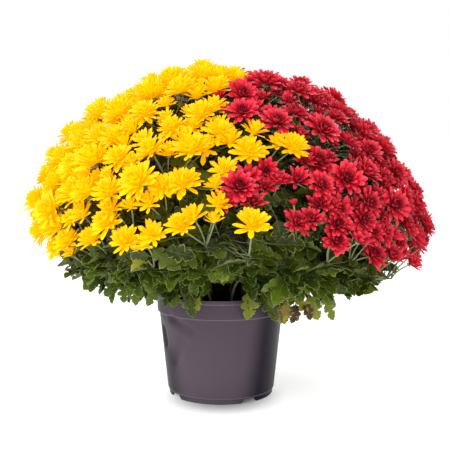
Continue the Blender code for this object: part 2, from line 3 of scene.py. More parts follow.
import bpy
import numpy as np
from numpy.random import default_rng
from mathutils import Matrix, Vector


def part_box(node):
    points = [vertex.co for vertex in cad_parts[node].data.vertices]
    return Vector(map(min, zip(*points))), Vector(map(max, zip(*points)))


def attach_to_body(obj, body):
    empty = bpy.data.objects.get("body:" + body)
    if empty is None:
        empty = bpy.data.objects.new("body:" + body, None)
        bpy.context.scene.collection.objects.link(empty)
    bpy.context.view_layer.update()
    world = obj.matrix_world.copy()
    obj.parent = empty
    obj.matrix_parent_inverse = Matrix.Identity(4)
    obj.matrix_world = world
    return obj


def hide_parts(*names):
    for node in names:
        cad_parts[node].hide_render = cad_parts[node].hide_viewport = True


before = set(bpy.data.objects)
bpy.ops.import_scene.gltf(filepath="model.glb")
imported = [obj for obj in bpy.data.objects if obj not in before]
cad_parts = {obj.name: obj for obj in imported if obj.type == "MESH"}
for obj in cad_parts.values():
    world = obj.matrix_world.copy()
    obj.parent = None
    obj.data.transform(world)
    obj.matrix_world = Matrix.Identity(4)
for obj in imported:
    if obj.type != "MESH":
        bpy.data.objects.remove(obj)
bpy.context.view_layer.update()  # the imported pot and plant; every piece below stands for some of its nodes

yellow, red = "yellow", "red"

# where things are: the same rules as the solids follow, so each piece lies where its node is

crown = {
    "x": 0.0120, "z": 0.252,             # middle of the dome that the blooms sit on
    "radius": 0.277, "rise": 0.214, "drop": 0.130, "narrowing": 0.07,
    "lowestFall": 118, "candidates": 7000, "seed": 7,
    "spacing": {yellow: 0.0354, red: 0.0323}, "relaxed": 1.24, "rounds": 60, "lowSpread": 1.36,
    "size": {yellow: 0.0250, red: 0.0225}, "lowSize": 0.88,
    "lean": (0.30, 0.35), "sway": 0.14, "highest": 0.4655,
    "sizes": (0.90, 1.06), "depths": (-0.006, 0.004), "pushShare": 0.25, "topReach": 0.02,
    "closeSprays": {yellow: 15, red: 17}, "lowSprays": {yellow: 5, red: 5},
    # where the two plants meet, as (fall, heading), down the front and down the back
    "front": ((0, 14), (17, 12), (30, -2), (37, -7), (43, -4), (48, 8), (52, 18), (56, 26),
              (60, 22), (63, 5), (67, -4), (77, -3), (79, 8), (82, 12), (90, 12), (125, 14)),
    "back": ((0, 194), (20, 184), (45, 172), (70, 183), (95, 176), (125, 178)),
    # where the blooms end, as (heading, fall of the close ones, fall of the last single ones)
    "line": ((-180, 90, 104), (-120, 92, 106), (-90, 96, 112), (-62, 88, 104), (-45, 81, 98),
             (-30, 77, 91), (-18, 74, 91), (-8, 71, 89), (-2, 78, 89), (7, 79, 88), (11, 68, 87),
             (14, 64, 66), (17, 64, 67), (21, 74, 87), (30, 79, 95), (45, 92, 107),
             (62, 96, 111), (90, 98, 115), (120, 94, 108), (180, 90, 104)),
}

lowPotCorner, highPotCorner = (np.array(corner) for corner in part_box("pot"))
potAxis = (lowPotCorner + highPotCorner) / 2 * (1, 1, 0)  # the solids were centred on their footprint
upward = np.array([0, 0, 1.0])


def unit(v):
    # each vector divided by its length
    return v / np.linalg.norm(v, axis=-1, keepdims=True)


def towards(heading):
    # the level direction of a heading, (sin, -cos, 0): 0 is the front, 90 the right
    a = math.radians(heading)
    return np.array([math.sin(a), -math.cos(a), 0.0])


def turned(first, second, turn):
    # a direction turned from the first towards the second: cos * first + sin * second
    return math.cos(turn) * first + math.sin(turn) * second


def allOf(things, key, usual=None):
    # one value of each bloom or leaf, as an array
    return np.array([thing.get(key, usual) for thing in things])


def crownPoint(heading, fall):
    # a point on the dome and its outward direction. The dome is an ellipsoid with one height over its
    # middle and another under it, and above it is drawn in by a share of sin(2 fall)^2
    f = math.radians(fall)
    narrow = 1 - crown["narrowing"] * math.sin(2 * f) ** 2 if fall < 90 else 1.0
    rise = crown["rise"] if fall < 90 else crown["drop"]
    out = towards(heading)
    point = np.array([crown["x"], 0, crown["z"]]) + out * crown["radius"] * narrow * math.sin(f)
    point[2] += rise * math.cos(f)
    normal = unit(out * math.sin(f) / crown["radius"] + np.array([0, 0, math.cos(f) / rise]))
    return point, normal


def colourAt(heading, fall):
    # red from the border down the front to the one down the back, each a heading read off at this fall
    front = np.interp(fall, *zip(*crown["front"]))
    back = np.interp(fall, *zip(*crown["back"]))
    return red if (heading - front) % 360 < back - front else yellow


def lineAt(heading):
    # the falls of the last close bloom and of the last single one, read off at this heading
    line = list(zip(*crown["line"]))
    return np.interp(heading, line[0], line[1]), np.interp(heading, line[0], line[2])


def movedPlace(place, push):
    # a place on the dome after a small push: its share along the heading, over the distance from the
    # middle, turns the heading, and its share down the slope, over a degree's length, adds to the fall
    heading, fall = place
    point = crownPoint(heading, fall)[0]
    south = crownPoint(heading, fall + 1)[0] - point
    reach = max(math.hypot(point[0] - crown["x"], point[1]), crown["topReach"])
    heading += math.degrees(push @ towards(heading + 90) / reach)
    fall += push @ south / (south @ south)
    return (heading + 180, -fall) if fall < 0 else (heading, fall)


def spreadOut(places, spreads):
    # neighbours closer than their spacing are pushed apart over the dome, each by a share of what is
    # missing, round after round; close blooms stay above the edge line and single ones below it
    low = [fall > lineAt(heading)[0] for heading, fall in places]
    for _ in range(crown["rounds"]):
        points = np.array([crownPoint(*place)[0] for place in places])
        apart = points[:, None] - points[None]
        distance = np.linalg.norm(apart, axis=2) + np.eye(len(points))
        wanted = (spreads[:, None] + spreads[None]) / 2
        share = np.where(distance < wanted, (wanted - distance) / distance, 0.0)
        np.fill_diagonal(share, 0.0)
        pushes = crown["pushShare"] * (apart * share[:, :, None]).sum(1)
        for k, push in enumerate(pushes):
            heading, fall = movedPlace(places[k], push)
            heading = (heading + 180) % 360 - 180
            closeTo, last = lineAt(heading)
            limits = (closeTo + 0.5, max(last, closeTo + 1)) if low[k] else (0, closeTo - 0.1)
            places[k] = (heading, min(max(fall, limits[0]), limits[1]))
    return places


def bloomPlaces():
    # blooms thrown on the dome at random, never too close, and then spread out evenly
    rng = default_rng(crown["seed"])
    headings = rng.uniform(-180, 180, crown["candidates"])
    lowest = math.cos(math.radians(crown["lowestFall"]))
    falls = np.degrees(np.arccos(rng.uniform(lowest, 1, crown["candidates"])))
    places, points, spreads = [], np.empty((0, 3)), np.empty(0)
    for heading, fall in zip(headings, falls):
        closeTo, last = lineAt(heading)
        if fall > last:
            continue
        spread = crown["spacing"][colourAt(heading, fall)]
        spread *= crown["lowSpread"] if fall > closeTo else 1
        point = crownPoint(heading, fall)[0]
        if len(points) and (np.linalg.norm(points - point, axis=1) < (spreads + spread) / 2).any():
            continue
        places.append((heading, fall))
        points = np.vstack([points, point])
        spreads = np.append(spreads, spread)
    blooms = []
    for heading, fall in spreadOut(places, spreads * crown["relaxed"]):
        colour, low = colourAt(heading, fall), bool(fall > lineAt(heading)[0])
        point, normal = crownPoint(heading, fall)
        sway = rng.normal(0, crown["sway"], 3)
        lean = crown["lean"][0] + crown["lean"][1] * math.sin(math.radians(fall))
        size = rng.uniform(*crown["sizes"]) * (crown["lowSize"] if low else 1.0)
        depth = rng.uniform(*crown["depths"])
        rng.uniform(0, 2 * math.pi)  # the solids' own turn, kept so that later draws agree
        blooms.append({
            "centre": point + normal * depth, "axis": unit(normal + lean * upward + sway),
            "radius": crown["size"][colour] * size, "colour": colour, "low": low,
            "heading": heading, "fall": fall, "filler": False,
        })
    return blooms


def groupsOf(blooms, count):
    # the blooms split into sprays: seeds as far apart as they can be, each moved again and again to the
    # mean of the blooms that lie nearest to it
    centres = allOf(blooms, "centre")
    seeds = [centres[0]]
    while len(seeds) < min(count, len(centres)):
        nearest = np.min([np.linalg.norm(centres - s, axis=1) for s in seeds], axis=0)
        seeds.append(centres[nearest.argmax()])
    seeds = np.array(seeds)
    for _ in range(25):
        owner = np.linalg.norm(centres[:, None] - seeds[None], axis=2).argmin(1)
        seeds = np.array([centres[owner == k].mean(0) if (owner == k).any() else seeds[k]
                          for k in range(len(seeds))])
    return [[b for b, o in zip(blooms, owner) if o == k]
            for k in range(len(seeds)) if (owner == k).any()]


def hubOf(spray):
    # the bloom nearest to the mean of its spray, where the branch ends
    middle = np.mean([b["centre"] for b in spray], axis=0)
    return min(spray, key=lambda b: np.linalg.norm(b["centre"] - middle))


stems = {
    "trunkX": {yellow: -0.030, red: 0.034}, "trunkTop": 0.196, "trunkRadius": 0.0048,
    "branchRadius": 0.0019, "stalkRadius": 0.00095, "arch": 0.015,
    "forkIn": 0.045, "forkDown": 0.014, "forkFoot": 0.012, "bloomDepth": 0.17,
    "steepFor": 0.20, "startDrop": 0.006, "levelDrop": 0.016, "bow": 0.45,
    "footShare": 0.18, "forkBow": 0.35, "rosetteIn": 0.030, "rosetteDown": 0.036,
}


def placeUnder(blooms, inward, down):
    # the mean of a few blooms, moved level towards the dome's axis and then down
    middle = np.mean([b["centre"] for b in blooms], axis=0)
    way = unit(np.array([crown["x"] - middle[0], -middle[1], 0.0]))
    return middle + way * inward - upward * down


def forkFoot(spray):
    # where a low spray's branch ends, a little back from its fork, the direction back, and the fork
    fork = placeUnder(spray, stems["forkIn"], stems["forkDown"])
    middle = 0.5 * (fork + np.array([stems["trunkX"][spray[0]["colour"]], 0, 0]))
    middle[2] = max(fork[2], stems["trunkTop"]) + stems["arch"]
    back = unit(middle - fork)
    return fork + back * stems["forkFoot"], back, fork


def branchTo(colour, end, arrival):
    # the three points that bend a branch: on the trunk, lower for a level branch than for a steep one,
    # then a share of its length before its end against the way it arrives, and its end
    x = stems["trunkX"][colour]
    steep = min(1.0, max(0.0, (end[2] - stems["trunkTop"]) / stems["steepFor"]))
    start = np.array([x, 0, stems["trunkTop"] - stems["startDrop"] - stems["levelDrop"] * (1 - steep)])
    return start, end - arrival * np.linalg.norm(end - start) * stems["bow"], end


def bent(bends, rings):
    # the curve (1-t)^2 a + 2t(1-t) b + t^2 c: it leaves a towards b and arrives at c from b
    start, middle, end = (np.atleast_2d(b)[:, None] for b in bends)
    t = np.linspace(0, 1, rings)[None, :, None]
    return (1 - t) ** 2 * start + 2 * t * (1 - t) * middle + t * t * end


# meshes from numpy arrays


def ringFaces(rings, sides):
    # quads between rings that lie one above the other, and fans to a pole under and over them: corner
    # n of ring r is number 1 + r * sides + n
    low = 1 + np.arange(rings - 1)[:, None] * sides
    n = np.arange(sides)[None]
    m = (n + 1) % sides
    quads = np.stack([low + n, low + m, low + sides + m, low + sides + n], -1).reshape(-1, 4)
    n, m = n[0], m[0]
    last = 1 + (rings - 1) * sides
    tris = np.concatenate([np.stack([0 * n, 1 + m, 1 + n], -1),
                           np.stack([last + n, last + m, 0 * n + last + sides], -1)])
    return quads, tris


def patch(points, quads, tris, finish, sharp=None, **values):
    # many copies of one small shape: points as (copies, corners, 3), and the faces of one copy, whose
    # corner numbers are shifted for each further copy
    copies, corners = points.shape[:2]
    shift = (np.arange(copies) * corners)[:, None, None]
    whole = {key: np.broadcast_to(value, (copies, corners)).ravel() for key, value in values.items()}
    edge = np.zeros(corners, bool) if sharp is None else sharp
    return {
        "points": points.reshape(-1, 3),
        "quads": (quads[None] + shift).reshape(-1, 4), "tris": (tris[None] + shift).reshape(-1, 3),
        "finish": finish, "values": whole, "sharp": np.tile(edge, copies),
    }


def placed(name, data):
    # a new object at the origin of the scene
    thing = bpy.data.objects.new(name, data)
    bpy.context.scene.collection.objects.link(thing)
    return thing


totals = {"pieces": 0, "triangles": 0, "largest": 0}


def newPiece(name, patches, finishes, nodes):
    # one object from its patches, laid end to end and moved to the pot's axis, in place of its nodes
    starts = np.cumsum([0] + [len(p["points"]) for p in patches])
    points = np.concatenate([p["points"] for p in patches]) + potAxis
    quads, tris = (np.concatenate([p[kind] + s for p, s in zip(patches, starts)])
                   for kind in ("quads", "tris"))
    mesh = bpy.data.meshes.new(name)
    mesh.vertices.add(len(points))
    mesh.vertices.foreach_set("co", points.ravel())
    mesh.loops.add(quads.size + tris.size)
    mesh.loops.foreach_set("vertex_index", np.concatenate([quads.ravel(), tris.ravel()]).astype(np.int32))
    mesh.polygons.add(len(quads) + len(tris))
    loopStarts = np.concatenate([np.arange(len(quads)) * 4, quads.size + np.arange(len(tris)) * 3])
    mesh.polygons.foreach_set("loop_start", loopStarts.astype(np.int32))
    slots = [list(finishes).index(p["finish"]) for p in patches]
    indices = np.concatenate([np.full(len(p[kind]), k) for kind in ("quads", "tris")
                              for p, k in zip(patches, slots)])
    mesh.polygons.foreach_set("material_index", indices.astype(np.int32))
    mesh.update(calc_edges=True)
    for finish in finishes:
        mesh.materials.append(finish)
    for key in sorted({key for p in patches for key in p["values"]}):
        value = np.concatenate([p["values"].get(key, np.zeros(len(p["points"]))) for p in patches])
        mesh.attributes.new(key, "FLOAT", "POINT").data.foreach_set("value", value.astype(np.float32))
    sharp = np.concatenate([p["sharp"] for p in patches])
    if sharp.any():
        ends = np.empty(len(mesh.edges) * 2, np.int32)
        mesh.edges.foreach_get("vertices", ends)
        mesh.attributes.new("sharp_edge", "BOOLEAN", "EDGE").data.foreach_set(
            "value", sharp[ends.reshape(-1, 2)].all(1))
        mesh.polygons.foreach_set("use_smooth", np.ones(len(mesh.polygons), bool))
    else:
        mesh.shade_smooth()
    piece = placed(name, mesh)
    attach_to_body(piece, "root")
    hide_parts(*nodes)
    triangles = sum(len(p["quads"]) * 2 + len(p["tris"]) for p in patches)
    totals["pieces"] += 1
    totals["triangles"] += triangles
    totals["largest"] = max(totals["largest"], triangles)


def tubes(paths, radii, sides, finish, **values):
    # round tubes: at each point of a path a ring, radius * (cos a * side + sin a * other), across the
    # path's direction; the helper is any direction that no path follows
    copies, rings = paths.shape[:2]
    along = unit(np.gradient(paths, axis=1))
    helper = np.cross(along.mean(1, keepdims=True), np.array([0.31, 0.52, 0.79]))
    side = unit(helper - along * (helper * along).sum(-1, keepdims=True))
    other = np.cross(along, side)
    a = 2 * math.pi * np.arange(sides) / sides
    spin = np.cos(a)[:, None] * side[:, :, None] + np.sin(a)[:, None] * other[:, :, None]
    ring = paths[:, :, None] + np.broadcast_to(radii, (copies, rings))[:, :, None, None] * spin
    points = np.concatenate([paths[:, :1], ring.reshape(copies, -1, 3), paths[:, -1:]], 1)
    return patch(points, *ringFaces(rings, sides), finish, **values)


def alongTube(first, last, rings, sides):
    # a value for each corner of a tube, from its first ring to its last
    value = np.linspace(first, last, rings).repeat(sides)
    return np.concatenate([value[:1], value, value[-1:]])[None]


# finishes


def fromHex(text):
    # an sRGB colour as linear light: c / 12.92 where dark, otherwise ((c + 0.055) / 1.055)^2.4
    c = np.array([int(text[k:k + 2], 16) / 255 for k in (1, 3, 5)])
    return (*np.where(c <= 0.04045, c / 12.92, ((c + 0.055) / 1.055) ** 2.4), 1.0)


def fill(tree, node, inputs):
    # a node's inputs, by name or number: another node's output, a plain value or a hex colour
    for key, value in inputs.items():
        if isinstance(value, bpy.types.NodeSocket):
            tree.links.new(value, node.inputs[key])
        else:
            node.inputs[key].default_value = fromHex(value) if isinstance(value, str) else value


def addNode(tree, kind, inputs=(), out=0, stops=(), **settings):
    # one node with its settings, its inputs in their order or by name, and a ramp's places and
    # colours; what it gives back is one of its outputs
    node = tree.nodes.new("ShaderNode" + kind)
    for key, value in settings.items():
        setattr(node, key, value)
    fill(tree, node, inputs if isinstance(inputs, dict) else dict(enumerate(inputs)))
    for _ in stops[2:]:
        node.color_ramp.elements.new(0.5)
    for n, (place, colour) in enumerate(stops):
        node.color_ramp.elements[n].position = place
        node.color_ramp.elements[n].color = fromHex(colour)
    return node.outputs[out]


def newFinish(name, attributes, noises=()):
    # an empty material and its nodes, with the mesh's own values that it reads and soft noises, each
    # given as (width of its patches in millimetres, detail, roughness)
    material = bpy.data.materials.new(name)
    material.use_nodes = True
    tree = material.node_tree
    values = [addNode(tree, "Attribute", out="Fac", attribute_name=key) for key in attributes]
    place = addNode(tree, "TexCoord", out="Object")
    for width, detail, roughness in noises:
        values.append(addNode(tree, "TexNoise", {"Vector": place, "Scale": 1000.0 / width, "Detail": detail,
                                                 "Roughness": roughness}, "Fac"))
    return material, tree, values


def dress(material, look, colour, height, **inputs):
    # the shader's inputs: a colour, a relief from a height, how rough and glossy, and what else is given
    tree = material.node_tree
    relief = addNode(tree, "Bump", {"Height": height, "Strength": look["bump"], "Distance": look["rise"]})
    plain = {"Roughness": look["roughness"], "Specular IOR Level": look["gloss"]}
    more = {key.replace("_", " "): value for key, value in inputs.items()}
    fill(tree, tree.nodes["Principled BSDF"], {"Base Color": colour, "Normal": relief, **plain, **more})
    return material


def petalFinish(name, look):
    # a living petal: thin and matt, so light passes into it. Its colour runs from foot to tip, goes
    # warm in some petals and deep in the middle of a bloom, the dark feet and middle partly its own colour
    # and partly painted shade, and fine veins run along it, as the sine of the place across it. It glows
    # a little, painted light in place of the light that has passed the petals round it
    material, tree, (along, across, tint, depth) = newFinish(name, ("along", "across", "tint", "depth"))
    colour = addNode(tree, "ValToRGB", [along], stops=look["stops"])
    # the deep colour darkens the inner petals' feet and the middle: partly the bloom's own dark eye, partly
    # painted shade deep in the bloom
    for value, share, other in ((tint, "tintShare", "warm"), (depth, "deepShare", "deep")):
        share = addNode(tree, "Math", (value, look[share]), operation="MULTIPLY", use_clamp=True)
        colour = addNode(tree, "Mix", {0: share, 6: colour, 7: look[other]}, 2, data_type="RGBA")
    turns = addNode(tree, "Math", (across, look["veins"] * 2 * math.pi), operation="MULTIPLY")
    veins = addNode(tree, "Math", [turns], operation="SINE")
    shade = addNode(tree, "Math", (veins, look["veinShare"], look["veinShare"]), operation="MULTIPLY_ADD")
    colour = addNode(tree, "Mix", {0: shade, 6: colour, 7: look["vein"]}, 2, data_type="RGBA")
    # the emission is painted light: a glow in place of light passed on by the petals round it
    return dress(material, look, colour, veins, Subsurface_Weight=look["glow"], Subsurface_Scale=1.0,
                 Subsurface_Radius=look["glowReach"], Sheen_Weight=look["sheen"], Sheen_Roughness=0.5,
                 Sheen_Tint=look["sheenColour"], Emission_Color=look["lit"][0],
                 Emission_Strength=look["lit"][1])


petalLooks = {
    yellow: {
        "roughness": 0.60, "gloss": 0.18, "sheen": 0.0, "sheenColour": "#FFE680", "glow": 0.45,
        "lit": ("#F2B800", 0.29), "glowReach": (0.0040, 0.0026, 0.0002),
        "stops": ((0.0, "#E2AA00"), (0.25, "#ECBA00"), (0.6, "#F0B600"), (1.0, "#F2B200")),
        "warm": "#F4B600", "tintShare": 0.5, "deep": "#F0B400", "deepShare": 0.5,
        "vein": "#ECB400", "veins": 2.5, "veinShare": 0.05, "bump": 0.35, "rise": 0.00025,
    },
    red: {
        "roughness": 0.50, "gloss": 0.08, "sheen": 0.08, "sheenColour": "#F08A98", "glow": 0.18,
        "lit": ("#9A0018", 0.04), "glowReach": (0.0030, 0.0006, 0.0005),
        "stops": ((0.0, "#340208"), (0.3, "#8C0818"), (0.65, "#D01028"), (1.0, "#F44E5E")),
        "warm": "#E02A42", "tintShare": 0.6, "deep": "#3E0208", "deepShare": 0.95,
        "vein": "#7E0A18", "veins": 2.5, "veinShare": 0.05, "bump": 0.35, "rise": 0.00025,
    },
}
petal = {colour: petalFinish(colour + "MumPetal", petalLooks[colour]) for colour in (yellow, red)}


leafSkin = {
    # shared by both sides: side veins per leaf length and how they slant, how sharp each vein and the
    # rim are, how pale, and spots and grain as (millimetres, detail, roughness)
    "sideVeins": 5.2, "veinSlant": -0.95, "sideSharp": -14.0, "middleSharp": -55.0, "rimSharp": 11.0,
    "veinPale": 0.45, "rimPale": 2.3, "spots": (9.0, 3.0, 0.5), "grain": (1.6, 3.0, 0.5), "grainShare": 0.5,
    "veinSink": -0.8, "bump": 0.6, "rise": 0.0006, "glow": 0.08, "glowReach": (0.0010, 0.0020, 0.0004),
    # an older leaf turns from its green through these
    "aged": ((0.40, "#9A9C28"), (0.70, "#74502A"), (1.0, "#3E241A")),
}


def leafFinish(name, look):
    # a soft lobed leaf: matt skin, mottled dark and light green, greyer in some leaves, with paler sunk
    # veins and a pale rim, which is a painted highlight along the edge; old leaves go yellow and brown.
    # The middle vein is where |across| is 0, and a side vein where (along - slant * |across|) * count is
    # half way between two whole numbers
    look = {**leafSkin, **look}
    material, tree, (along, across, tint, age, edge, spots, grain) = newFinish(
        name, ("along", "across", "tint", "age", "edge"), (look["spots"], look["grain"]))
    side = addNode(tree, "Math", [across], operation="ABSOLUTE")
    slant = addNode(tree, "Math", (side, look["veinSlant"], along), operation="MULTIPLY_ADD")
    slant = addNode(tree, "Math", (slant, look["sideVeins"]), operation="MULTIPLY")
    part = addNode(tree, "Math", [slant], operation="FRACT")
    part = addNode(tree, "Math", (part, 0.5), operation="SUBTRACT")
    lines = addNode(tree, "Math", [part], operation="ABSOLUTE")
    sideVein, middleVein, rim, greyer = (
        addNode(tree, "Math", (value, steep, shift), operation="MULTIPLY_ADD", use_clamp=True)
        for value, steep, shift in ((lines, look["sideSharp"], 1.0), (side, look["middleSharp"], 1.0),
                                    (edge, look["rimSharp"], 1 - look["rimSharp"]), (tint, 2.4, -1.8)))
    vein = addNode(tree, "Math", (sideVein, middleVein), operation="MAXIMUM")
    lighter = addNode(tree, "Math", (tint, 0.75, -0.15), operation="MULTIPLY_ADD")
    lighter = addNode(tree, "Math", (spots, 0.5, lighter), operation="MULTIPLY_ADD", use_clamp=True)
    older = addNode(tree, "Math", (age, -0.06), operation="ADD")
    older = addNode(tree, "Math", (spots, 0.12, older), operation="MULTIPLY_ADD")
    old = addNode(tree, "ValToRGB", [older], stops=((0.0, look["light"]), *look["aged"]))
    aged = addNode(tree, "Math", (age, 2.2), operation="MULTIPLY", use_clamp=True)
    paleVein = addNode(tree, "Math", (vein, look["veinPale"]), operation="MULTIPLY")
    # painted highlight along the leaf's rim
    paleRim = addNode(tree, "Math", (rim, look["rimPale"]), operation="MULTIPLY")
    pale = addNode(tree, "Math", (paleVein, paleRim), operation="MAXIMUM")
    pale = addNode(tree, "Math", (pale, look["veinShare"]), operation="MULTIPLY", use_clamp=True)
    colour = look["dark"]
    for share, over in ((lighter, look["light"]), (greyer, look["grey"]), (aged, old), (pale, look["vein"])):
        colour = addNode(tree, "Mix", {0: share, 6: colour, 7: over}, 2, data_type="RGBA")
    fine = addNode(tree, "Math", (grain, look["grainShare"]), operation="MULTIPLY")
    height = addNode(tree, "Math", (vein, look["veinSink"], fine), operation="MULTIPLY_ADD")
    return dress(material, look, colour, height, Subsurface_Weight=look["glow"], Subsurface_Scale=1.0,
                 Subsurface_Radius=look["glowReach"])


leafTop = leafFinish("mumLeafUpperSkin", {
    "roughness": 0.30, "gloss": 0.16, "dark": "#131D00", "light": "#566A0C", "grey": "#586828",
    "vein": "#ACB268", "veinShare": 0.36})
leafUnder = leafFinish("mumLeafUnderside", {
    "roughness": 0.65, "gloss": 0.20, "dark": "#353D18", "light": "#5A642C", "grey": "#6A7244",
    "vein": "#8E9664", "veinShare": 0.35})

stalkLook = {"green": "#38451F", "pale": "#9AA578", "wood": "#4F4630", "spots": (5.0, 3.0, 0.5),
             "down": (0.8, 3.0, 0.5), "roughness": 0.6, "gloss": 0.2, "bump": 0.3, "rise": 0.0002}


def stalkFinish():
    # a downy young stalk: pale grey-green with fine down, brown where it has gone woody with age
    material, tree, (tint, age, spots, down) = newFinish(
        "downyStalk", ("tint", "age"), (stalkLook["spots"], stalkLook["down"]))
    half = addNode(tree, "Math", (tint, 0.5), operation="MULTIPLY")
    paler = addNode(tree, "Math", (spots, 0.5, half), operation="MULTIPLY_ADD", use_clamp=True)
    woody = addNode(tree, "Math", (age, 1.0), operation="MULTIPLY", use_clamp=True)
    colour = stalkLook["green"]
    for share, over in ((paler, stalkLook["pale"]), (woody, stalkLook["wood"])):
        colour = addNode(tree, "Mix", {0: share, 6: colour, 7: over}, 2, data_type="RGBA")
    return dress(material, stalkLook, colour, down)


stalkSkin = stalkFinish()


pot = {
    "height": 0.152, "rim": 0.0950, "shoulder": 0.0915, "base": 0.0790, "foot": 0.0770,
    "band": 0.0275, "wall": 0.0018, "footHeight": 0.0072, "floorTop": 0.0086,
    "lip": 0.0009, "lipDrop": 0.0056, "collarStep": 0.0008, "sides": 180,
    "gapDeg": 19.0, "firstGapDeg": 32.0, "gaps": 4, "gapLean": 0.18, "gapCeiling": 0.0012,
    # knocks and folds in the wall: from (heading, height) to (heading, height), half width, depth
    "knocks": (((-65.0, 0.100), (-60.0, 0.080), 0.0150, 0.0020),
               ((-73.0, 0.100), (-69.0, 0.078), 0.0065, 0.0030),
               ((-50.0, 0.120), (-29.0, 0.106), 0.0050, 0.0052),
               ((-36.0, 0.088), (-50.0, 0.056), 0.0085, 0.0026)),
}

potLook = {
    "dark": "#120D19", "faded": "#4C434B", "scuffed": "#5A505A", "rubbed": "#847882", "shine": "#C4A6BE",
    "fadedSide": -10.0, "fade": (0.48, 0.79), "scuffShare": 0.16, "gloss": 0.14, "bump": 0.12,
    "rise": 0.0002, "clouds": (60.0, 4.0, 0.5), "scuffs": (9.0, 5.0, 0.7), "grain": (2.2, 3.0, 0.5),
}


def potFinish():
    # recycled polypropylene, injection moulded: dark plum-grey and satin. One side is painted lighter,
    # painted light that stands in for the light falling on it, as far as (place . lit direction) / rim
    # passes from one share to another; scuffs lie all over it, and along the edges lies a painted
    # highlight, stronger in some places than in others
    look = potLook
    material, tree, (rub, broad, scuff, fine) = newFinish(
        "mouldedPolypropylene", ["rub"], (look["clouds"], look["scuffs"], look["grain"]))
    place = addNode(tree, "TexCoord", out="Object")
    fromAxis = addNode(tree, "VectorMath", (place, tuple(-potAxis)), operation="ADD")
    # painted light: the colour turns lighter towards this side of the pot
    paintedLightWay = tuple(towards(look["fadedSide"]) / pot["rim"])
    side = addNode(tree, "VectorMath", (fromAxis, paintedLightWay), "Value", operation="DOT_PRODUCT")
    faded = addNode(tree, "MapRange", (side, *look["fade"]), interpolation_type="SMOOTHSTEP")
    faded = addNode(tree, "Math", (faded, 0.10), operation="SUBTRACT")
    faded = addNode(tree, "Math", (broad, 0.2, faded), operation="MULTIPLY_ADD", use_clamp=True)
    scuff = addNode(tree, "Math", (scuff, 4.0, -2.3), operation="MULTIPLY_ADD", use_clamp=True)
    scuffed = addNode(tree, "Math", (scuff, look["scuffShare"]), operation="MULTIPLY")
    uneven = addNode(tree, "Math", (scuff, 0.3, 0.55), operation="MULTIPLY_ADD")
    # painted highlight along the edges, stronger or weaker with the scuffs
    rubbed = addNode(tree, "Math", (rub, uneven), operation="MULTIPLY", use_clamp=True)
    colour = look["dark"]
    for share, over in ((faded, look["faded"]), (scuffed, look["scuffed"]), (rubbed, look["rubbed"])):
        colour = addNode(tree, "Mix", {0: share, 6: colour, 7: over}, 2, data_type="RGBA")
    rough = addNode(tree, "Math", (scuff, 0.08, 0.33), operation="MULTIPLY_ADD")
    rough = addNode(tree, "Math", (broad, 0.14, rough), operation="MULTIPLY_ADD")
    return dress(material, {**look, "roughness": rough}, colour, fine, Specular_Tint=look["shine"])


soil = {
    "stops": ((0.3, "#0F0A07"), (0.55, "#2A1D14"), (0.75, "#5A4632")), "crumbs": (3.0, 6.0, 0.7),
    "rise": 0.0015, "bump": 0.9, "roughness": 0.95, "gloss": 0.2,
    "low": 0.012, "top": 0.134, "gap": 0.0006, "sides": 96, "rings": 36, "middle": 0.003,
    # the plug's outline under its top, as (radius, height)
    "plug": ((0.066, 0.012), (0.0765, 0.084), (0.0835, 0.1195)), "neck": 0.1262, "roundEdge": 0.0015,
    # the waves of its top: how many, waves in radians a metre, height
    "waves": 60, "waveReach": (60, 520), "waveHeight": 0.0011, "waveFade": 150, "waveShare": 0.55,
    "sink": 0.001, "seed": 3,
}


def soilFinish():
    # damp peat compost: nearly black crumbs with lighter fibre, rough and matt
    material, tree, (crumbs,) = newFinish("peatCompost", (), [soil["crumbs"]])
    return dress(material, soil, addNode(tree, "ValToRGB", [crumbs], stops=soil["stops"]), crumbs)


potPlastic, compost = potFinish(), soilFinish()
print("finishes ready")

# pot and soil


def dentAt(headings, heights):
    # how far the wall is pushed in: for each knock a soft hollow round its line, which falls off as
    # exp(-(distance / half width)^2), with distances measured on the unrolled wall
    depth, reach = 0.0, math.radians(1) * pot["base"]
    for start, end, halfWidth, most in pot["knocks"]:
        along, up = ((headings - start[0] + 180) % 360 - 180) * reach, heights - start[1]
        way = np.array([(end[0] - start[0]) * reach, end[1] - start[1]])
        share = np.clip((along * way[0] + up * way[1]) / (way @ way), 0, 1)
        squared = (along - share * way[0]) ** 2 + (up - share * way[1]) ** 2
        depth = depth + most * np.exp(-squared / halfWidth ** 2)
    return depth


def turnedRings(profile, sides, dented):
    # a profile of (radius, height) carried round the pot's axis, (r sin a, -r cos a, height), with the
    # knocks taken off its radii
    profile = np.array(profile)
    headings = np.linspace(0, 360, sides, endpoint=False)
    a = np.radians(headings)
    radii = profile[:, :1] - dentAt(headings[None], profile[:, 1:]) * dented
    return np.stack([radii * np.sin(a), -radii * np.cos(a), profile[:, 1:] + 0 * radii], -1), headings


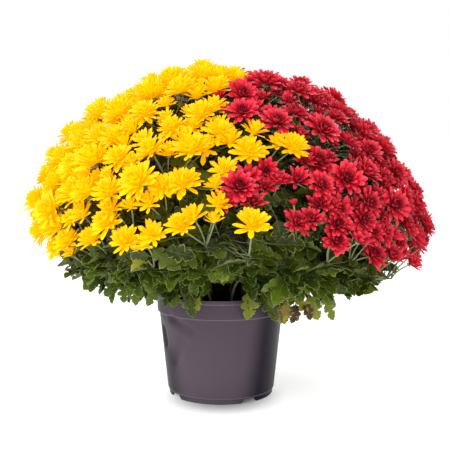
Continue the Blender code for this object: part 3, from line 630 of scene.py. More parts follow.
def makePot():
    # the pot's outline turned round its axis: a wall that widens evenly to the band, a straight band
    # with a rounded lip, and the same line inside by the wall's thickness
    top, rim, wall, foot, base, lift, shoulder = (
        pot[key] for key in ("height", "rim", "wall", "foot", "base", "footHeight", "shoulder"))
    band = top - pot["band"]

    def wallRadius(z):
        # the outer wall's radius at a height, on a straight line from the base to the shoulder
        return base + (shoulder - base) * (z - lift) / (band - lift)

    lip, lipLow, collar = rim + pot["lip"], top - pot["lipDrop"], rim - wall - pot["collarStep"]
    outerWall = [(wallRadius(z), z) for z in (lift + 0.0026, *np.linspace(lift + 0.0032, band - 0.0018, 46))]
    innerWall = [(wallRadius(z) - wall, z) for z in np.linspace(band - 0.0036, pot["floorTop"] + 0.003, 14)]
    bandRise = [(rim - 0.0006 + 0.0006 * s, band + 0.0014 + s * (lipLow - band - 0.0030))
                for s in np.linspace(0, 1, 4)]
    # (radius, height, how much painted highlight), from under the foot up the outside and down the inside;
    # each edge is a small round between two close rings
    profile = [
        (foot - 0.0030, lift - 0.0006, 0), (foot - 0.0025, lift - 0.0012, 0), (foot - 0.0023, 0.0006, 0),
        (foot - 0.0018, 0, 0), (foot - 0.0006, 0, 0.3), (foot - 0.0001, 0.0005, 0.5),
        (foot, 0.0012, 0), (foot + 0.0003, lift - 0.0008, 0), (foot + 0.0005, lift - 0.0003, 0),
        (base - 0.0014, lift + 0.0001, 0), (base - 0.0006, lift + 0.0004, 0.6),
        (base - 0.0001, lift + 0.0010, 1.0), (base + 0.0002, lift + 0.0018, 0.3),
        *[(*ring, 0) for ring in outerWall],
        (shoulder + 0.0002, band - 0.0012, 0), (shoulder + 0.0005, band - 0.0006, 0),
        (rim - 0.0014, band - 0.0004, 0), (rim - 0.0009, band - 0.0001, 0.8),
        (rim - 0.0006, band + 0.0004, 1.0), (rim - 0.0006, band + 0.0009, 0.4),
        *[(*ring, 0) for ring in bandRise],
        (rim, lipLow - 0.0010, 0), (rim + 0.0002, lipLow - 0.0004, 0), (lip - 0.0003, lipLow - 0.0001, 0.8),
        (lip, lipLow + 0.0004, 1.0), (lip, lipLow + 0.0010, 0.2),
        (lip, top - 0.0018, 0), (lip, top - 0.0010, 0.3),
        (lip - 0.0002, top - 0.0004, 1.0), (rim, top, 0.8), (rim - wall + 0.0003, top, 0.5),
        (rim - wall, top - 0.0004, 0.6), (rim - wall, top - 0.0010, 0), (collar, band + 0.0012, 0),
        (collar - 0.0006, band - 0.0004, 0), *[(*ring, 0) for ring in innerWall],
        (base - wall - 0.0025, pot["floorTop"], 0),
    ]
    rubbed = np.array(profile)[:, 2]
    profile = [ring[:2] for ring in profile]
    grid, headings = turnedRings(profile, pot["sides"], True)
    # the foot ring is cut away between its four feet, with leaning ends
    fromGap = (headings - pot["firstGapDeg"] + 45) % (360 / pot["gaps"]) - 45
    share = np.clip((pot["gapDeg"] * 0.5 - np.abs(fromGap)) / (pot["gapDeg"] * pot["gapLean"]), 0, 1)
    ceiling = (lift - pot["gapCeiling"]) * share
    footRows = slice(1, 9)  # the outline's places that make the foot ring
    grid[footRows, :, 2] = np.maximum(grid[footRows, :, 2], ceiling[None])
    poles = np.array([[0, 0, lift - 0.0006], [0, 0, pot["floorTop"]]])
    points = np.concatenate([poles[:1], grid.reshape(-1, 3), poles[1:]])[None]
    quads, tris = ringFaces(len(profile), pot["sides"])
    rub = np.concatenate([[0], np.repeat(rubbed, pot["sides"]), [0]])[None]
    newPiece("nurseryPot", [patch(points, quads, tris, potPlastic, rub=rub)], [potPlastic], ["pot"])


def makeSoil():
    # a plug to just under the rim; its top is a sum of small waves sin(w . place + phase), lower where
    # they are shorter, like loose crumbs
    collar = pot["rim"] - pot["wall"] - pot["collarStep"] - soil["gap"]
    top, sides = soil["top"], soil["sides"]
    radii = np.linspace(collar, soil["middle"], soil["rings"])
    profile = [*soil["plug"], (collar, soil["neck"]), (collar, top - soil["roundEdge"]),
               *[(r, top) for r in radii[1:]]]
    grid, _ = turnedRings(profile, sides, False)
    rng = default_rng(soil["seed"])
    flat, many = grid[5:], soil["waves"]  # every ring of the top
    waves = rng.normal(0, 1, (many, 2)) * rng.uniform(*soil["waveReach"], (many, 1))
    phases = rng.uniform(0, 2 * math.pi, many)
    heights = soil["waveHeight"] / np.sqrt(1 + np.linalg.norm(waves, axis=1) / soil["waveFade"])
    crumbs = (np.sin(flat[..., :2] @ waves.T + phases) * heights).sum(-1)
    flat[..., 2] += crumbs * soil["waveShare"] - soil["sink"]
    points = np.concatenate([[[0, 0, soil["low"]]], grid.reshape(-1, 3), [[0, 0, top]]])[None]
    quads, tris = ringFaces(len(profile), sides)
    newPiece("compost", [patch(points, quads, tris, compost)], [compost], ["soil"])


makePot()
makeSoil()
print("pot and soil done")

# petals and blooms

bloomLooks = {
    # angles and widths go from the outermost petal to the innermost one; attach, rise and lengths are
    # shares of the bloom's radius; rows are (place along the petal, share of its width)
    yellow: {
        "petals": 56, "youngPetals": 30, "width": 0.0072, "outerShare": 0.5, "innerWidth": 0.66,
        "shorten": 0.34, "channel": 0.15,
        "startAngle": (10, 86), "endAngle": (-8, 80), "attach": (0.17, 0.03), "rise": (-0.03, 0.14),
        "rows": ((0.10, 0.54), (0.42, 0.90), (0.73, 0.98), (0.93, 0.56)),
        "innerRows": ((0.10, 0.54), (0.52, 0.98), (0.90, 0.64)), "youngRows": ((0.14, 0.74), (0.76, 0.98)),
        "darkFrom": 0.60, "darkFade": 0.45,
    },
    red: {
        "petals": 50, "youngPetals": 28, "width": 0.0070, "outerShare": 0.5, "innerWidth": 0.44,
        "shorten": 0.70, "channel": 0.16,
        "startAngle": (14, 88), "endAngle": (-8, 118), "attach": (0.17, 0.06), "rise": (-0.03, 0.06),
        "rows": ((0.10, 0.52), (0.42, 0.88), (0.72, 1.0), (0.93, 0.64)),
        "innerRows": ((0.10, 0.52), (0.52, 0.98), (0.90, 0.70)), "youngRows": ((0.14, 0.72), (0.76, 0.98)),
        "darkFrom": 0.46, "darkFade": 0.15,
    },
}
goldenDeg = 137.508
goldenTurn = math.radians(goldenDeg)
petalForm = {
    "spreadPower": 1.15, "turnSway": 0.07, "shutDeg": 48, "startShut": 0.6, "startSway": 0.05,
    "endSway": 0.11, "length": 1.04, "shortenPower": 1.4, "lengthSway": 0.05, "tintSway": 0.18,
    "darkWithin": 0.32,
    # where a petal would cross into a neighbour: how far it may, its shortest share, how it turns up
    "walls": 10, "mayCross": 0.0060, "crossLength": 1.06, "shortest": 0.62, "turnUp": 1.3,
    "widthSway": 0.07, "twistSway": 0.22, "upperSkin": 0.00015, "lowerSkin": 0.00035,
}


def wallsOf(blooms, everyCentre, everyRadius):
    # for each bloom, the planes between it and its nearest neighbours: directions and reaches, which
    # share the distance between two blooms as their radii do
    centres, radii = allOf(blooms, "centre"), allOf(blooms, "radius")
    gap = everyCentre[None] - centres[:, None]
    distance = np.linalg.norm(gap, axis=2)
    distance[distance < 1e-6] = 9.0  # a bloom is no neighbour of itself
    order = np.argsort(distance, axis=1)[:, :petalForm["walls"]]
    near = np.take_along_axis(distance, order, 1)
    share = radii[:, None] / (radii[:, None] + everyRadius[order])
    return np.take_along_axis(gap, order[..., None], 1) / near[..., None], near * share


def acrossAxis(axis):
    # for each axis, two directions at right angles to it and to each other
    helper = np.where(np.abs(axis[:, 2:]) < 0.9, np.array([[0, 0, 1.0]]), np.array([[1.0, 0, 0]]))
    first = unit(np.cross(helper, axis))
    return first, np.cross(axis, first)


def petalPatches(blooms, colour, everyCentre, everyRadius, rng):
    # petal n leaves the axis at n golden turns. With t from 0 outside to 1 inside, its angle at its foot
    # and at its tip go from one look to the other as t^power, and it gets shorter as t^power
    look, form = bloomLooks[colour], petalForm
    young = blooms[0]["filler"]
    count, many = look["youngPetals" if young else "petals"], len(blooms)
    t = (np.arange(count) + 0.5)[None] / count + np.zeros((many, 1))
    radius, openness = (allOf(blooms, key)[:, None] for key in ("radius", "open"))
    turn = np.arange(count)[None] * goldenTurn + rng.uniform(0, 6.28, (many, 1))
    turn = turn + rng.normal(0, form["turnSway"], t.shape)
    jitter = rng.normal(0, 1, (4, many, count))
    spread = t ** form["spreadPower"]
    start, end = (np.radians(look[key][0] + (look[key][1] - look[key][0]) * spread)
                  for key in ("startAngle", "endAngle"))
    shut = (1 - openness) * np.radians(form["shutDeg"])
    start = start + shut * form["startShut"] + jitter[0] * form["startSway"]
    end = end + shut + jitter[1] * form["endSway"]
    attach, base = (radius * (look[key][0] + (look[key][1] - look[key][0]) * t) for key in ("attach", "rise"))
    length = (radius - attach) * (form["length"] - look["shorten"] * t ** form["shortenPower"]) * (
        1 + form["lengthSway"] * jitter[2])

    axis = allOf(blooms, "axis")
    first, second = acrossAxis(axis)
    out = np.cos(turn)[..., None] * first[:, None] + np.sin(turn)[..., None] * second[:, None]
    side = np.cos(turn)[..., None] * second[:, None] - np.sin(turn)[..., None] * first[:, None]

    # petals that would cross into a neighbour are shortened and turned up at it
    tip = out * ((attach + length * np.cos((start + end) / 2))[..., None]) + axis[:, None] * (
        (base + length * np.sin((start + end) / 2))[..., None])
    directions, reaches = wallsOf(blooms, everyCentre, everyRadius)
    ahead = np.einsum("bpi,bwi->bpw", tip, directions)
    allowed = reaches[:, None] + form["mayCross"]
    share = np.where(ahead > allowed, allowed / np.maximum(ahead, 1e-6), 1.0).min(2)
    length = length * np.clip(share * form["crossLength"], form["shortest"], 1)
    end = end + (1 - share) * form["turnUp"]

    tint = np.clip(allOf(blooms, "tint")[:, None] + rng.normal(0, form["tintSway"], t.shape), 0, 1)
    dark = np.clip((t - look["darkFrom"]) / form["darkWithin"], 0, 1)
    outer = round(look["outerShare"] * count)
    parts = ((slice(0, outer), look["rows"]), (slice(outer, count), look["innerRows"]))
    if young:
        parts = ((slice(0, count), look["youngRows"]),)
    patches = []
    for part, rows in parts:
        values = [value[:, part] for value in (out, side, start, end, attach, base, length, t, jitter[1],
                                               jitter[3], tint, dark)]
        patches.append(bladePatch(blooms, colour, rows, *values))
    return patches


def bladePatch(blooms, colour, rows, out, side, start, end, attach, base, length, t, twisted, wide, tint,
               dark):
    # the blades. The angle goes evenly from the foot to the tip, and the middle line adds up its cosine
    # outwards and its sine upwards. Each row is a ring of four corners across it: two raised edges,
    # a sunk middle and the underside
    look, form, (many, count) = bloomLooks[colour], petalForm, t.shape
    radius, up = allOf(blooms, "radius")[:, None], allOf(blooms, "axis")[:, None]
    rows = np.array(rows)
    s = np.concatenate([[0], rows[:, 0], [1]])
    angle = start[..., None] + (end - start)[..., None] * s
    step = np.diff(s)
    middle = (angle[..., 1:] + angle[..., :-1]) / 2
    foot = np.zeros(t.shape + (1,))
    reach, height = (
        first[..., None] + length[..., None] * np.concatenate([foot, np.cumsum(share * step, -1)], -1)
        for first, share in ((attach, np.cos(middle)), (base, np.sin(middle))))
    line = out[:, :, None] * reach[..., None] + up[:, :, None] * height[..., None]
    lift = -out[:, :, None] * np.sin(angle)[..., None] + up[:, :, None] * np.cos(angle)[..., None]

    width = look["width"] * (radius / crown["size"][colour]) * (1 + (look["innerWidth"] - 1) * t) * (
        1 + form["widthSway"] * wide)
    half = (width / 2)[..., None] * rows[:, 1]
    twist = twisted * form["twistSway"]
    across = side * np.cos(twist)[..., None]
    across = across[:, :, None] + lift[:, :, 1:-1] * np.sin(twist)[..., None, None]
    body, lift = line[:, :, 1:-1], lift[:, :, 1:-1]
    channel = look["channel"] * 2 * half
    edge = lift * channel[..., None]
    left, right = body - across * half[..., None] + edge, body + across * half[..., None] + edge
    over, under = body + lift * form["upperSkin"], body - lift * form["lowerSkin"]
    ring = np.stack([left, under, right, over], 3)
    points = np.concatenate([line[:, :, :1], ring.reshape(many, count, -1, 3), line[:, :, -1:]], 2)
    points = points + allOf(blooms, "centre")[:, None, None]
    corners = points.shape[2]

    quads, tris = ringFaces(len(rows), 4)
    sharp = np.zeros(corners, bool)
    sharp[1:-1:2] = True
    sharp[[0, -1]] = True
    alongValues = np.concatenate([[0], np.repeat(rows[:, 0], 4), [1]])
    acrossValues = np.concatenate([[0], np.tile([-1.0, 0, 1.0, 0], len(rows)), [0]])
    # darker the deeper in the bloom and the nearer the foot: partly its own colour, partly painted shade
    depth = dark.reshape(-1, 1) * (1 - look["darkFade"] * alongValues[None])
    return patch(points.reshape(-1, corners, 3), quads, tris, petal[colour], sharp,
                 along=alongValues[None], across=acrossValues[None], tint=tint.reshape(-1, 1), depth=depth)


def bowlPatch(blooms, bowl, poles, finish, **values):
    # a small turned shape round the axis of each bloom: rings of six corners as (radius, height), and
    # the heights of its two ends, all in shares of the bloom's radius
    bowl = np.array(bowl)
    axis, radius = allOf(blooms, "axis"), allOf(blooms, "radius")
    first, second = acrossAxis(axis)
    a = 2 * math.pi * np.arange(6) / 6
    spin = np.cos(a)[:, None] * first[:, None] + np.sin(a)[:, None] * second[:, None]
    wide, high = bowl[:, 0][:, None, None], bowl[:, 1][:, None, None]
    ring = radius[:, None, None, None] * (wide * spin[:, None] + high * axis[:, None, None])
    ends = radius[:, None, None] * axis[:, None] * np.array(poles)[:, None]
    points = np.concatenate([ends[:, :1], ring.reshape(len(blooms), -1, 3), ends[:, 1:]], 1)
    points += allOf(blooms, "centre")[:, None]
    return patch(points, *ringFaces(len(bowl), 6), finish, **values)


def cupPatch(blooms, rng):
    # the green cup under a bloom
    return bowlPatch(blooms, ((0.16, -0.165), (0.20, -0.08)), (-0.195, -0.04), stalkSkin,
                     tint=rng.uniform(0.2, 0.6, (len(blooms), 1)))


def eyePatch(blooms, colour):
    # the imported middle of a bloom, under its shortest petals
    # all of it takes the deep colour: partly its own dark eye, partly painted shade
    return bowlPatch(blooms, ((0.21, 0.0), (0.14, 0.11)), (-0.05, 0.15), petal[colour],
                     along=0.1, depth=1.0, tint=0.3)


def baseOf(bloom):
    # the foot of a bloom, a share of its radius under its centre
    return bloom["centre"] - bloom["axis"] * bloom["radius"] * stems["footShare"]


def stalkPatch(blooms, fork, arrival, bow=0.42, rings=6, sides=4):
    # bare stalks from one fork to the foot of each bloom. A stalk bends through the mean of two points,
    # one ahead of the fork and one under the bloom along its axis
    base, axis = np.array([baseOf(b) for b in blooms]), allOf(blooms, "axis")
    reach = np.linalg.norm(base - fork, axis=1)[:, None]
    middle = 0.5 * (fork + arrival * reach * stems["forkBow"]) + 0.5 * (base - axis * reach * bow)
    paths = bent((np.repeat(fork[None], len(blooms), 0), middle, base), rings)
    radii = stems["stalkRadius"] * np.linspace(1.35, 0.95, rings)[None]
    return tubes(paths, radii, sides, stalkSkin, tint=alongTube(0.25, 0.9, rings, sides))


# how far the crown stands out from the dome, in metres, all over, at its shoulders and along its lower
# edge to both sides, from one fall to another
drift = {"all": -0.002, "shoulder": 0.006, "lowLeft": -0.019, "lowRight": 0.004, "lowFrom": 82, "lowTo": 97,
         "wave": 0.0035}


def swell(point, heading, fall):
    # how far a patch of the crown stands out: three slow sine waves over it, a few millimetres high,
    # shoulders that are fuller by sin(2 fall)^2, and a lower edge drawn in on the left
    x, y, z = point
    waves = drift["wave"] * (math.sin(23 * x + 31 * z) + math.sin(29 * y - 19 * z + 1)
                             + math.sin(37 * x - 17 * y + 2))
    shoulder = drift["shoulder"] * math.sin(math.radians(min(2 * fall, 180))) ** 2
    low = min(1.0, max(0.0, (fall - drift["lowFrom"]) / (drift["lowTo"] - drift["lowFrom"])))
    right = math.sin(math.radians(heading))
    return waves + drift["all"] + shoulder + low * (
        drift["lowRight"] * max(0.0, right) + drift["lowLeft"] * max(0.0, -right))


fullBlooms = {
    "seed": 11, "tilt": {yellow: -0.04, red: -0.30}, "lowTilt": 0.45, "middle": 0.22,
    "swell": {yellow: (0.96, 1.17), red: (0.96, 1.14)}, "open": 0.92, "lowOpen": 0.70, "openSway": 0.12,
    "openLimits": (0.42, 1.05), "tint": (0, 0.7), "axisSway": 0.12, "placeSway": 0.0022,
    "out": (-0.004, 0.002),
}
blooms = bloomPlaces()
bloomRng = default_rng(fullBlooms["seed"])
for bloom in blooms:
    out = unit(bloom["centre"] - np.array([crown["x"], 0, fullBlooms["middle"]]))
    usual = fullBlooms["lowOpen" if bloom["low"] else "open"]
    tilt = fullBlooms["lowTilt"] if bloom["low"] else fullBlooms["tilt"][bloom["colour"]]
    bloom["open"] = float(np.clip(bloomRng.normal(usual, fullBlooms["openSway"]), *fullBlooms["openLimits"]))
    bloom["tint"] = float(bloomRng.uniform(*fullBlooms["tint"]))
    bloom["axis"] = unit(bloom["axis"] + bloomRng.normal(0, fullBlooms["axisSway"], 3) + upward * tilt)
    bloom["radius"] *= bloomRng.uniform(*fullBlooms["swell"][bloom["colour"]])
    bloom["centre"] = bloom["centre"] + bloomRng.normal(0, fullBlooms["placeSway"], 3) + out * (
        swell(bloom["centre"], bloom["heading"], bloom["fall"]) + bloomRng.uniform(*fullBlooms["out"]))
    bloom["centre"][2] = min(bloom["centre"][2], crown["highest"])

fillers = {
    "candidates": 16000, "sink": 0.006, "clear": {yellow: 0.0164, red: 0.0190}, "apart": 0.0240,
    "size": (0.62, 0.96), "seed": 19, "lowest": -0.2, "depth": (0.7, 1.6), "sway": 0.22, "open": (0.55, 0.98),
    "tint": (0.1, 0.9), "up": 0.4, "pastLine": 2,
    "lowCandidates": 900, "lowClear": 0.024, "lowSize": (0.50, 0.80), "lowMost": 60, "lowShare": (-0.1, 1.15),
    "lowOpen": (0.12, 0.75), "lowTint": (0.3, 1.0), "lowSway": 0.18, "lowIn": 0.022, "lowUp": (0.45, 1.0),
    "narrowest": 5, "buds": 0.25, "budSize": 0.42, "budOpen": -0.1, "opening": 0.75,
    "front": (-52, 62), "frontIn": 0.006, "frontClear": 0.017, "frontSway": 0.14, "frontTint": (0.1, 0.8),
    # from heading to heading, how far up from the edge of the close blooms leaves show instead
    "leafy": (-46, -5, 9),
}


def fillerBlooms():
    # younger blooms a little deeper: random places over the dome, of which those are kept that are
    # clear of the main blooms and of each other
    rng = default_rng(fillers["seed"])
    main = allOf(blooms, "centre")
    found, taken = [], np.empty((0, 3))
    for _ in range(fillers["candidates"]):
        heading = rng.uniform(-180, 180)
        fall = math.degrees(math.acos(rng.uniform(fillers["lowest"], 1)))
        size, depth = rng.uniform(*fillers["size"]), rng.uniform(*fillers["depth"])
        sway = rng.normal(0, fillers["sway"], 3)
        isOpen, tint = rng.uniform(*fillers["open"]), rng.uniform(*fillers["tint"])
        first, last, above = fillers["leafy"]
        room = -above if first < heading < last else fillers["pastLine"]
        if fall > lineAt(heading)[0] + room:
            continue
        point, normal = crownPoint(heading, fall)
        point = point + normal * swell(point, heading, fall)
        colour = colourAt(heading, fall)
        if np.linalg.norm(main - point, axis=1).min() < fillers["clear"][colour]:
            continue
        if len(taken) and np.linalg.norm(taken - point, axis=1).min() < fillers["apart"]:
            continue
        taken = np.vstack([taken, point])
        found.append({
            "centre": point - normal * fillers["sink"] * depth, "colour": colour, "low": False,
            "axis": unit(normal + upward * (fillers["up"] + fullBlooms["tilt"][colour]) + sway),
            "radius": crown["size"][colour] * size, "heading": heading, "fall": fall, "filler": True,
            "open": isOpen, "tint": tint,
        })
    return found


# blooms along the lower edge that the front shows one by one: heading, fall, size, how open
frontBlooms = {
    yellow: ((-54, 94, 1.10, 0.90), (-45, 83, 0.90, 0.60), (-33, 85, 1.00, 0.85), (-32, 80, 0.85, 0.70),
             (-26, 79, 0.62, 0.50), (-22, 92, 0.82, 0.60), (-20, 88, 0.86, 0.60), (-21, 78, 0.80, 0.55),
             (-18, 73, 0.80, 0.80), (-15, 87, 0.80, 0.45), (-14, 83, 0.50, 0.05), (-12, 73, 0.42, -0.10),
             (-9, 82, 0.85, 0.50), (-4, 83, 0.58, 0.30), (-3, 78, 0.80, 0.60)),
    red: ((17, 84, 0.90, 0.92), (23, 83, 1.10, 1.00), (29, 85, 0.95, 0.95), (28, 90, 1.00, 0.95),
          (37, 84, 1.00, 0.95), (46, 86, 1.05, 0.95), (40, 88, 0.80, 0.80), (42, 100, 1.05, 1.00),
          (59, 103, 0.80, 0.50), (69, 99, 0.90, 0.70), (51, 93, 0.42, -0.10), (39, 92, 0.42, -0.10),
          (17, 78, 0.42, -0.10), (24, 76, 0.90, 0.90), (27, 79, 0.80, 0.80)),
}


def lowYoungBlooms():
    # half-open blooms and buds on long stalks along the lower edge: those that the front shows, and
    # elsewhere random ones between the line of the close blooms and the last
    rng = default_rng(fillers["seed"] + 1)
    found, taken = [], [b["centre"] for b in blooms if b["low"]]

    def add(point, colour, heading, fall, size, isOpen, axis, tint):
        # notes down one bloom; a half-open one has the fewer petals of the younger ones
        taken.append(point)
        found.append({"centre": point, "colour": colour, "low": True, "axis": unit(axis), "heading": heading,
                      "radius": crown["size"][colour] * size, "fall": fall, "open": isOpen, "tint": tint,
                      "filler": isOpen < fillers["opening"]})

    everyMain = allOf(blooms, "centre")
    for colour, heading, fall, size, isOpen in ((c, *place) for c in frontBlooms for place in frontBlooms[c]):
        sway, tint = rng.normal(0, fillers["frontSway"], 3), rng.uniform(*fillers["frontTint"])
        point, out = crownPoint(heading, fall)[0], towards(heading)
        point = point + out * (swell(point, heading, fall) - fillers["frontIn"])
        if np.linalg.norm(everyMain - point, axis=1).min() < fillers["frontClear"]:
            continue
        axis = out * (0.25 + 0.70 * isOpen) + upward * (1.1 - 0.5 * isOpen) + sway  # open ones look outward
        add(point, colour, heading, fall, size, isOpen, axis, tint)
    for _ in range(fillers["lowCandidates"]):
        heading, share = rng.uniform(-180, 180), rng.uniform(*fillers["lowShare"])
        size, out = rng.uniform(*fillers["lowSize"]), towards(heading)
        isOpen, tint = rng.uniform(*fillers["lowOpen"]), rng.uniform(*fillers["lowTint"])
        sway, bud = rng.normal(0, fillers["lowSway"], 3), rng.uniform(0, 1) < fillers["buds"]
        closeTo, last = lineAt(heading)
        fall = closeTo + (last - closeTo) * share
        point = crownPoint(heading, fall)[0]
        point = point + out * (swell(point, heading, fall) - rng.uniform(0.0, fillers["lowIn"]))
        inFront = fillers["front"][0] < heading < fillers["front"][1]
        nearest = np.linalg.norm(np.array(taken) - point, axis=1).min()
        if inFront or last - closeTo < fillers["narrowest"] or nearest < fillers["lowClear"]:
            continue
        if bud:
            size, isOpen = fillers["budSize"], fillers["budOpen"]
        axis = out * fillers["lowUp"][0] + upward * fillers["lowUp"][1] + sway
        add(point, colourAt(heading, fall), heading, fall, size, isOpen, axis, tint)
        if len(found) == fillers["lowMost"]:
            break
    return found


extra = fillerBlooms() + lowYoungBlooms()
everyBloom = blooms + extra
everyCentre, everyRadius = allOf(everyBloom, "centre"), allOf(everyBloom, "radius")
print("blooms placed:", len(blooms), "and", len(extra), "younger ones")

# the blooms of each colour in sprays, which stand for the nodes of the same names
sprays = []
for colour in (yellow, red):
    ofColour = [b for b in blooms if b["colour"] == colour]
    for kind, low in (("spray", False), ("low_spray", True)):
        count = crown["lowSprays" if low else "closeSprays"][colour]
        for n, spray in enumerate(groupsOf([b for b in ofColour if b["low"] == low], count)):
            sprays.append({"node": f"{colour}_{kind}_{n + 1:02d}", "blooms": spray, "colour": colour,
                           "low": low, "extra": []})
# a younger bloom belongs to the spray that has the bloom nearest to it
for bloom in extra:
    own = [s for s in sprays if s["colour"] == bloom["colour"] and s["low"] == bloom["low"]]
    near = min(own, key=lambda s: min(np.linalg.norm(b["centre"] - bloom["centre"]) for b in s["blooms"]))
    near["extra"].append(bloom)

sprayForm = {"seed": 23, "stalksAtOnce": 3, "forkReach": 0.02, "forkBow": 0.5, "wood": (0.7, 0.55),
             "age": 0.5, "forkAt": 16, "branchRings": 21}
branches = {yellow: [], red: []}  # (start, middle, end) of every branch
sprayStalks = {yellow: [], red: []}
rosettes = {yellow: [], red: []}
for spray in sprays:
    rng = default_rng([sprayForm["seed"], len(spray["blooms"]), int(spray["node"][-2:])])
    colour, members = spray["colour"], spray["blooms"] + spray["extra"]
    full = spray["blooms"] + [b for b in spray["extra"] if not b["filler"]]
    patches = [blades for some in (full, [b for b in spray["extra"] if b["filler"]]) if some
               for blades in petalPatches(some, colour, everyCentre, everyRadius, rng)]
    patches += [cupPatch(members, rng), eyePatch(members, colour)]
    if spray["low"]:
        end, back, _ = forkFoot(spray["blooms"])
        branches[colour].append(branchTo(colour, end, -back))
        for group in groupsOf(members, math.ceil(len(members) / sprayForm["stalksAtOnce"])):
            fork = placeUnder(group, stems["rosetteIn"], stems["rosetteDown"])
            rosettes[colour].append(fork)
            bend = end - back * sprayForm["forkReach"] - upward * sprayForm["forkReach"]
            radii = stems["branchRadius"] * np.linspace(*sprayForm["wood"], 7)[None]
            patches.append(tubes(bent((end, bend, fork), 7), radii, 6, stalkSkin, age=sprayForm["age"]))
            patches.append(stalkPatch(group, fork, upward, sprayForm["forkBow"], 8, 6))
    else:
        hub = hubOf(spray["blooms"])
        end = hub["centre"] - hub["axis"] * hub["radius"] * stems["bloomDepth"]
        bends = branchTo(colour, end, hub["axis"])
        branches[colour].append(bends)
        path = bent(bends, sprayForm["branchRings"])[0]
        fork = path[sprayForm["forkAt"]]
        arrival = unit(path[sprayForm["forkAt"] + 1] - fork)
        others = [b for b in members if b is not hub]
        if others:
            sprayStalks[colour].append(stalkPatch(others, fork, arrival))
    low = "Low" if spray["low"] else ""
    newPiece(f"{colour}{low}Spray{spray['node'][-2:]}", patches, [petal[colour], stalkSkin],
             [spray["node"]])
print("sprays done:", len(sprays))

# leaves

leafShape = {
    # half outlines as (along, across) in shares of the length: two toothed lobes and a toothed end
    "fine": ((0.00, 0.012), (0.12, 0.013), (0.17, 0.045), (0.215, 0.130), (0.25, 0.205), (0.275, 0.180),
             (0.315, 0.250), (0.345, 0.205), (0.385, 0.225), (0.41, 0.075), (0.445, 0.150),
             (0.50, 0.300), (0.53, 0.265), (0.575, 0.355), (0.605, 0.285), (0.645, 0.300),
             (0.672, 0.100), (0.71, 0.145), (0.745, 0.230), (0.78, 0.175), (0.825, 0.210),
             (0.855, 0.135), (0.905, 0.145), (0.95, 0.065)),
    "plain": ((0.00, 0.012), (0.13, 0.015), (0.21, 0.120), (0.29, 0.240), (0.37, 0.215), (0.405, 0.075),
              (0.47, 0.230), (0.565, 0.350), (0.635, 0.275), (0.67, 0.100), (0.745, 0.230), (0.835, 0.190),
              (0.91, 0.130), (0.96, 0.060)),
    "simple": ((0.00, 0.012), (0.31, 0.235), (0.405, 0.090), (0.56, 0.330), (0.665, 0.110), (0.80, 0.210)),
    "rib": ((0.0, 1.0), (0.15, 1.1), (0.34, 1.0), (0.52, 0.8), (0.70, 0.6), (0.86, 0.4)),
    "thickness": 0.0009, "sag": 0.16, "cup": 0.22, "sagSway": (-0.10, 0.16), "cupSway": (-0.20, 0.32),
    "wave": (0.25, 0.9), "waveHeight": 0.05, "waveTurns": 9, "waveWidth": 0.3, "width": (0.78, 1.06),
    "bend": 0.07, "tint": (0.42, 0.30),
}


def leafTemplate(kind):
    # a flat leaf: an edge ring shared by the upper and the under skin, and a rib that is lifted by half
    # the thickness on the upper side and sunk as far on the under one
    edge, rib = np.array(leafShape[kind]), np.array(leafShape["rib"])
    right = np.vstack([edge, [[1.0, 0.0]]])
    left = edge[::-1] * (1, -1)
    ring = np.vstack([right, left])
    tip, last = len(edge), len(ring) - 1
    top, low = len(ring), len(ring) + len(rib)

    def strip(outline, first):
        # triangles between the outline and the rib, each step taken on the side that lags
        tris, i, j = [], 0, 0
        while i < len(outline) - 1 or j < len(rib) - 1:
            nextEdge = ring[outline[i + 1], 0] if i < len(outline) - 1 else 9
            nextRib = rib[j + 1, 0] if j < len(rib) - 1 else 9
            if nextEdge <= nextRib:
                tris.append((first + j, outline[i], outline[i + 1]))
                i += 1
            else:
                tris.append((first + j, outline[i], first + j + 1))
                j += 1
        return tris

    rightSide, leftSide = list(range(tip + 1)), [last - k for k in range(tip)] + [tip]
    # the left half is the right one turned over, and so is the under side, so their faces run back
    upper = strip(rightSide, top) + [(a, c, b) for a, b, c in strip(leftSide, top)] + [(top, last, 0)]
    under = [(a, c, b) for a, b, c in strip(rightSide, low)] + strip(leftSide, low) + [(low, 0, last)]
    along = np.concatenate([ring[:, 0], rib[:, 0], rib[:, 0]])
    across = np.concatenate([ring[:, 1], 0 * rib[:, 0], 0 * rib[:, 0]])
    lift = np.concatenate([0 * ring[:, 0], rib[:, 1], -rib[:, 1]]) * leafShape["thickness"] / 2
    return {"along": along, "across": across, "lift": lift, "upper": np.array(upper),
            "under": np.array(under), "edge": (np.arange(len(along)) < len(ring)).astype(float)}


leafTemplates = {kind: leafTemplate(kind) for kind in ("fine", "plain", "simple")}
noQuads = np.empty((0, 4), int)


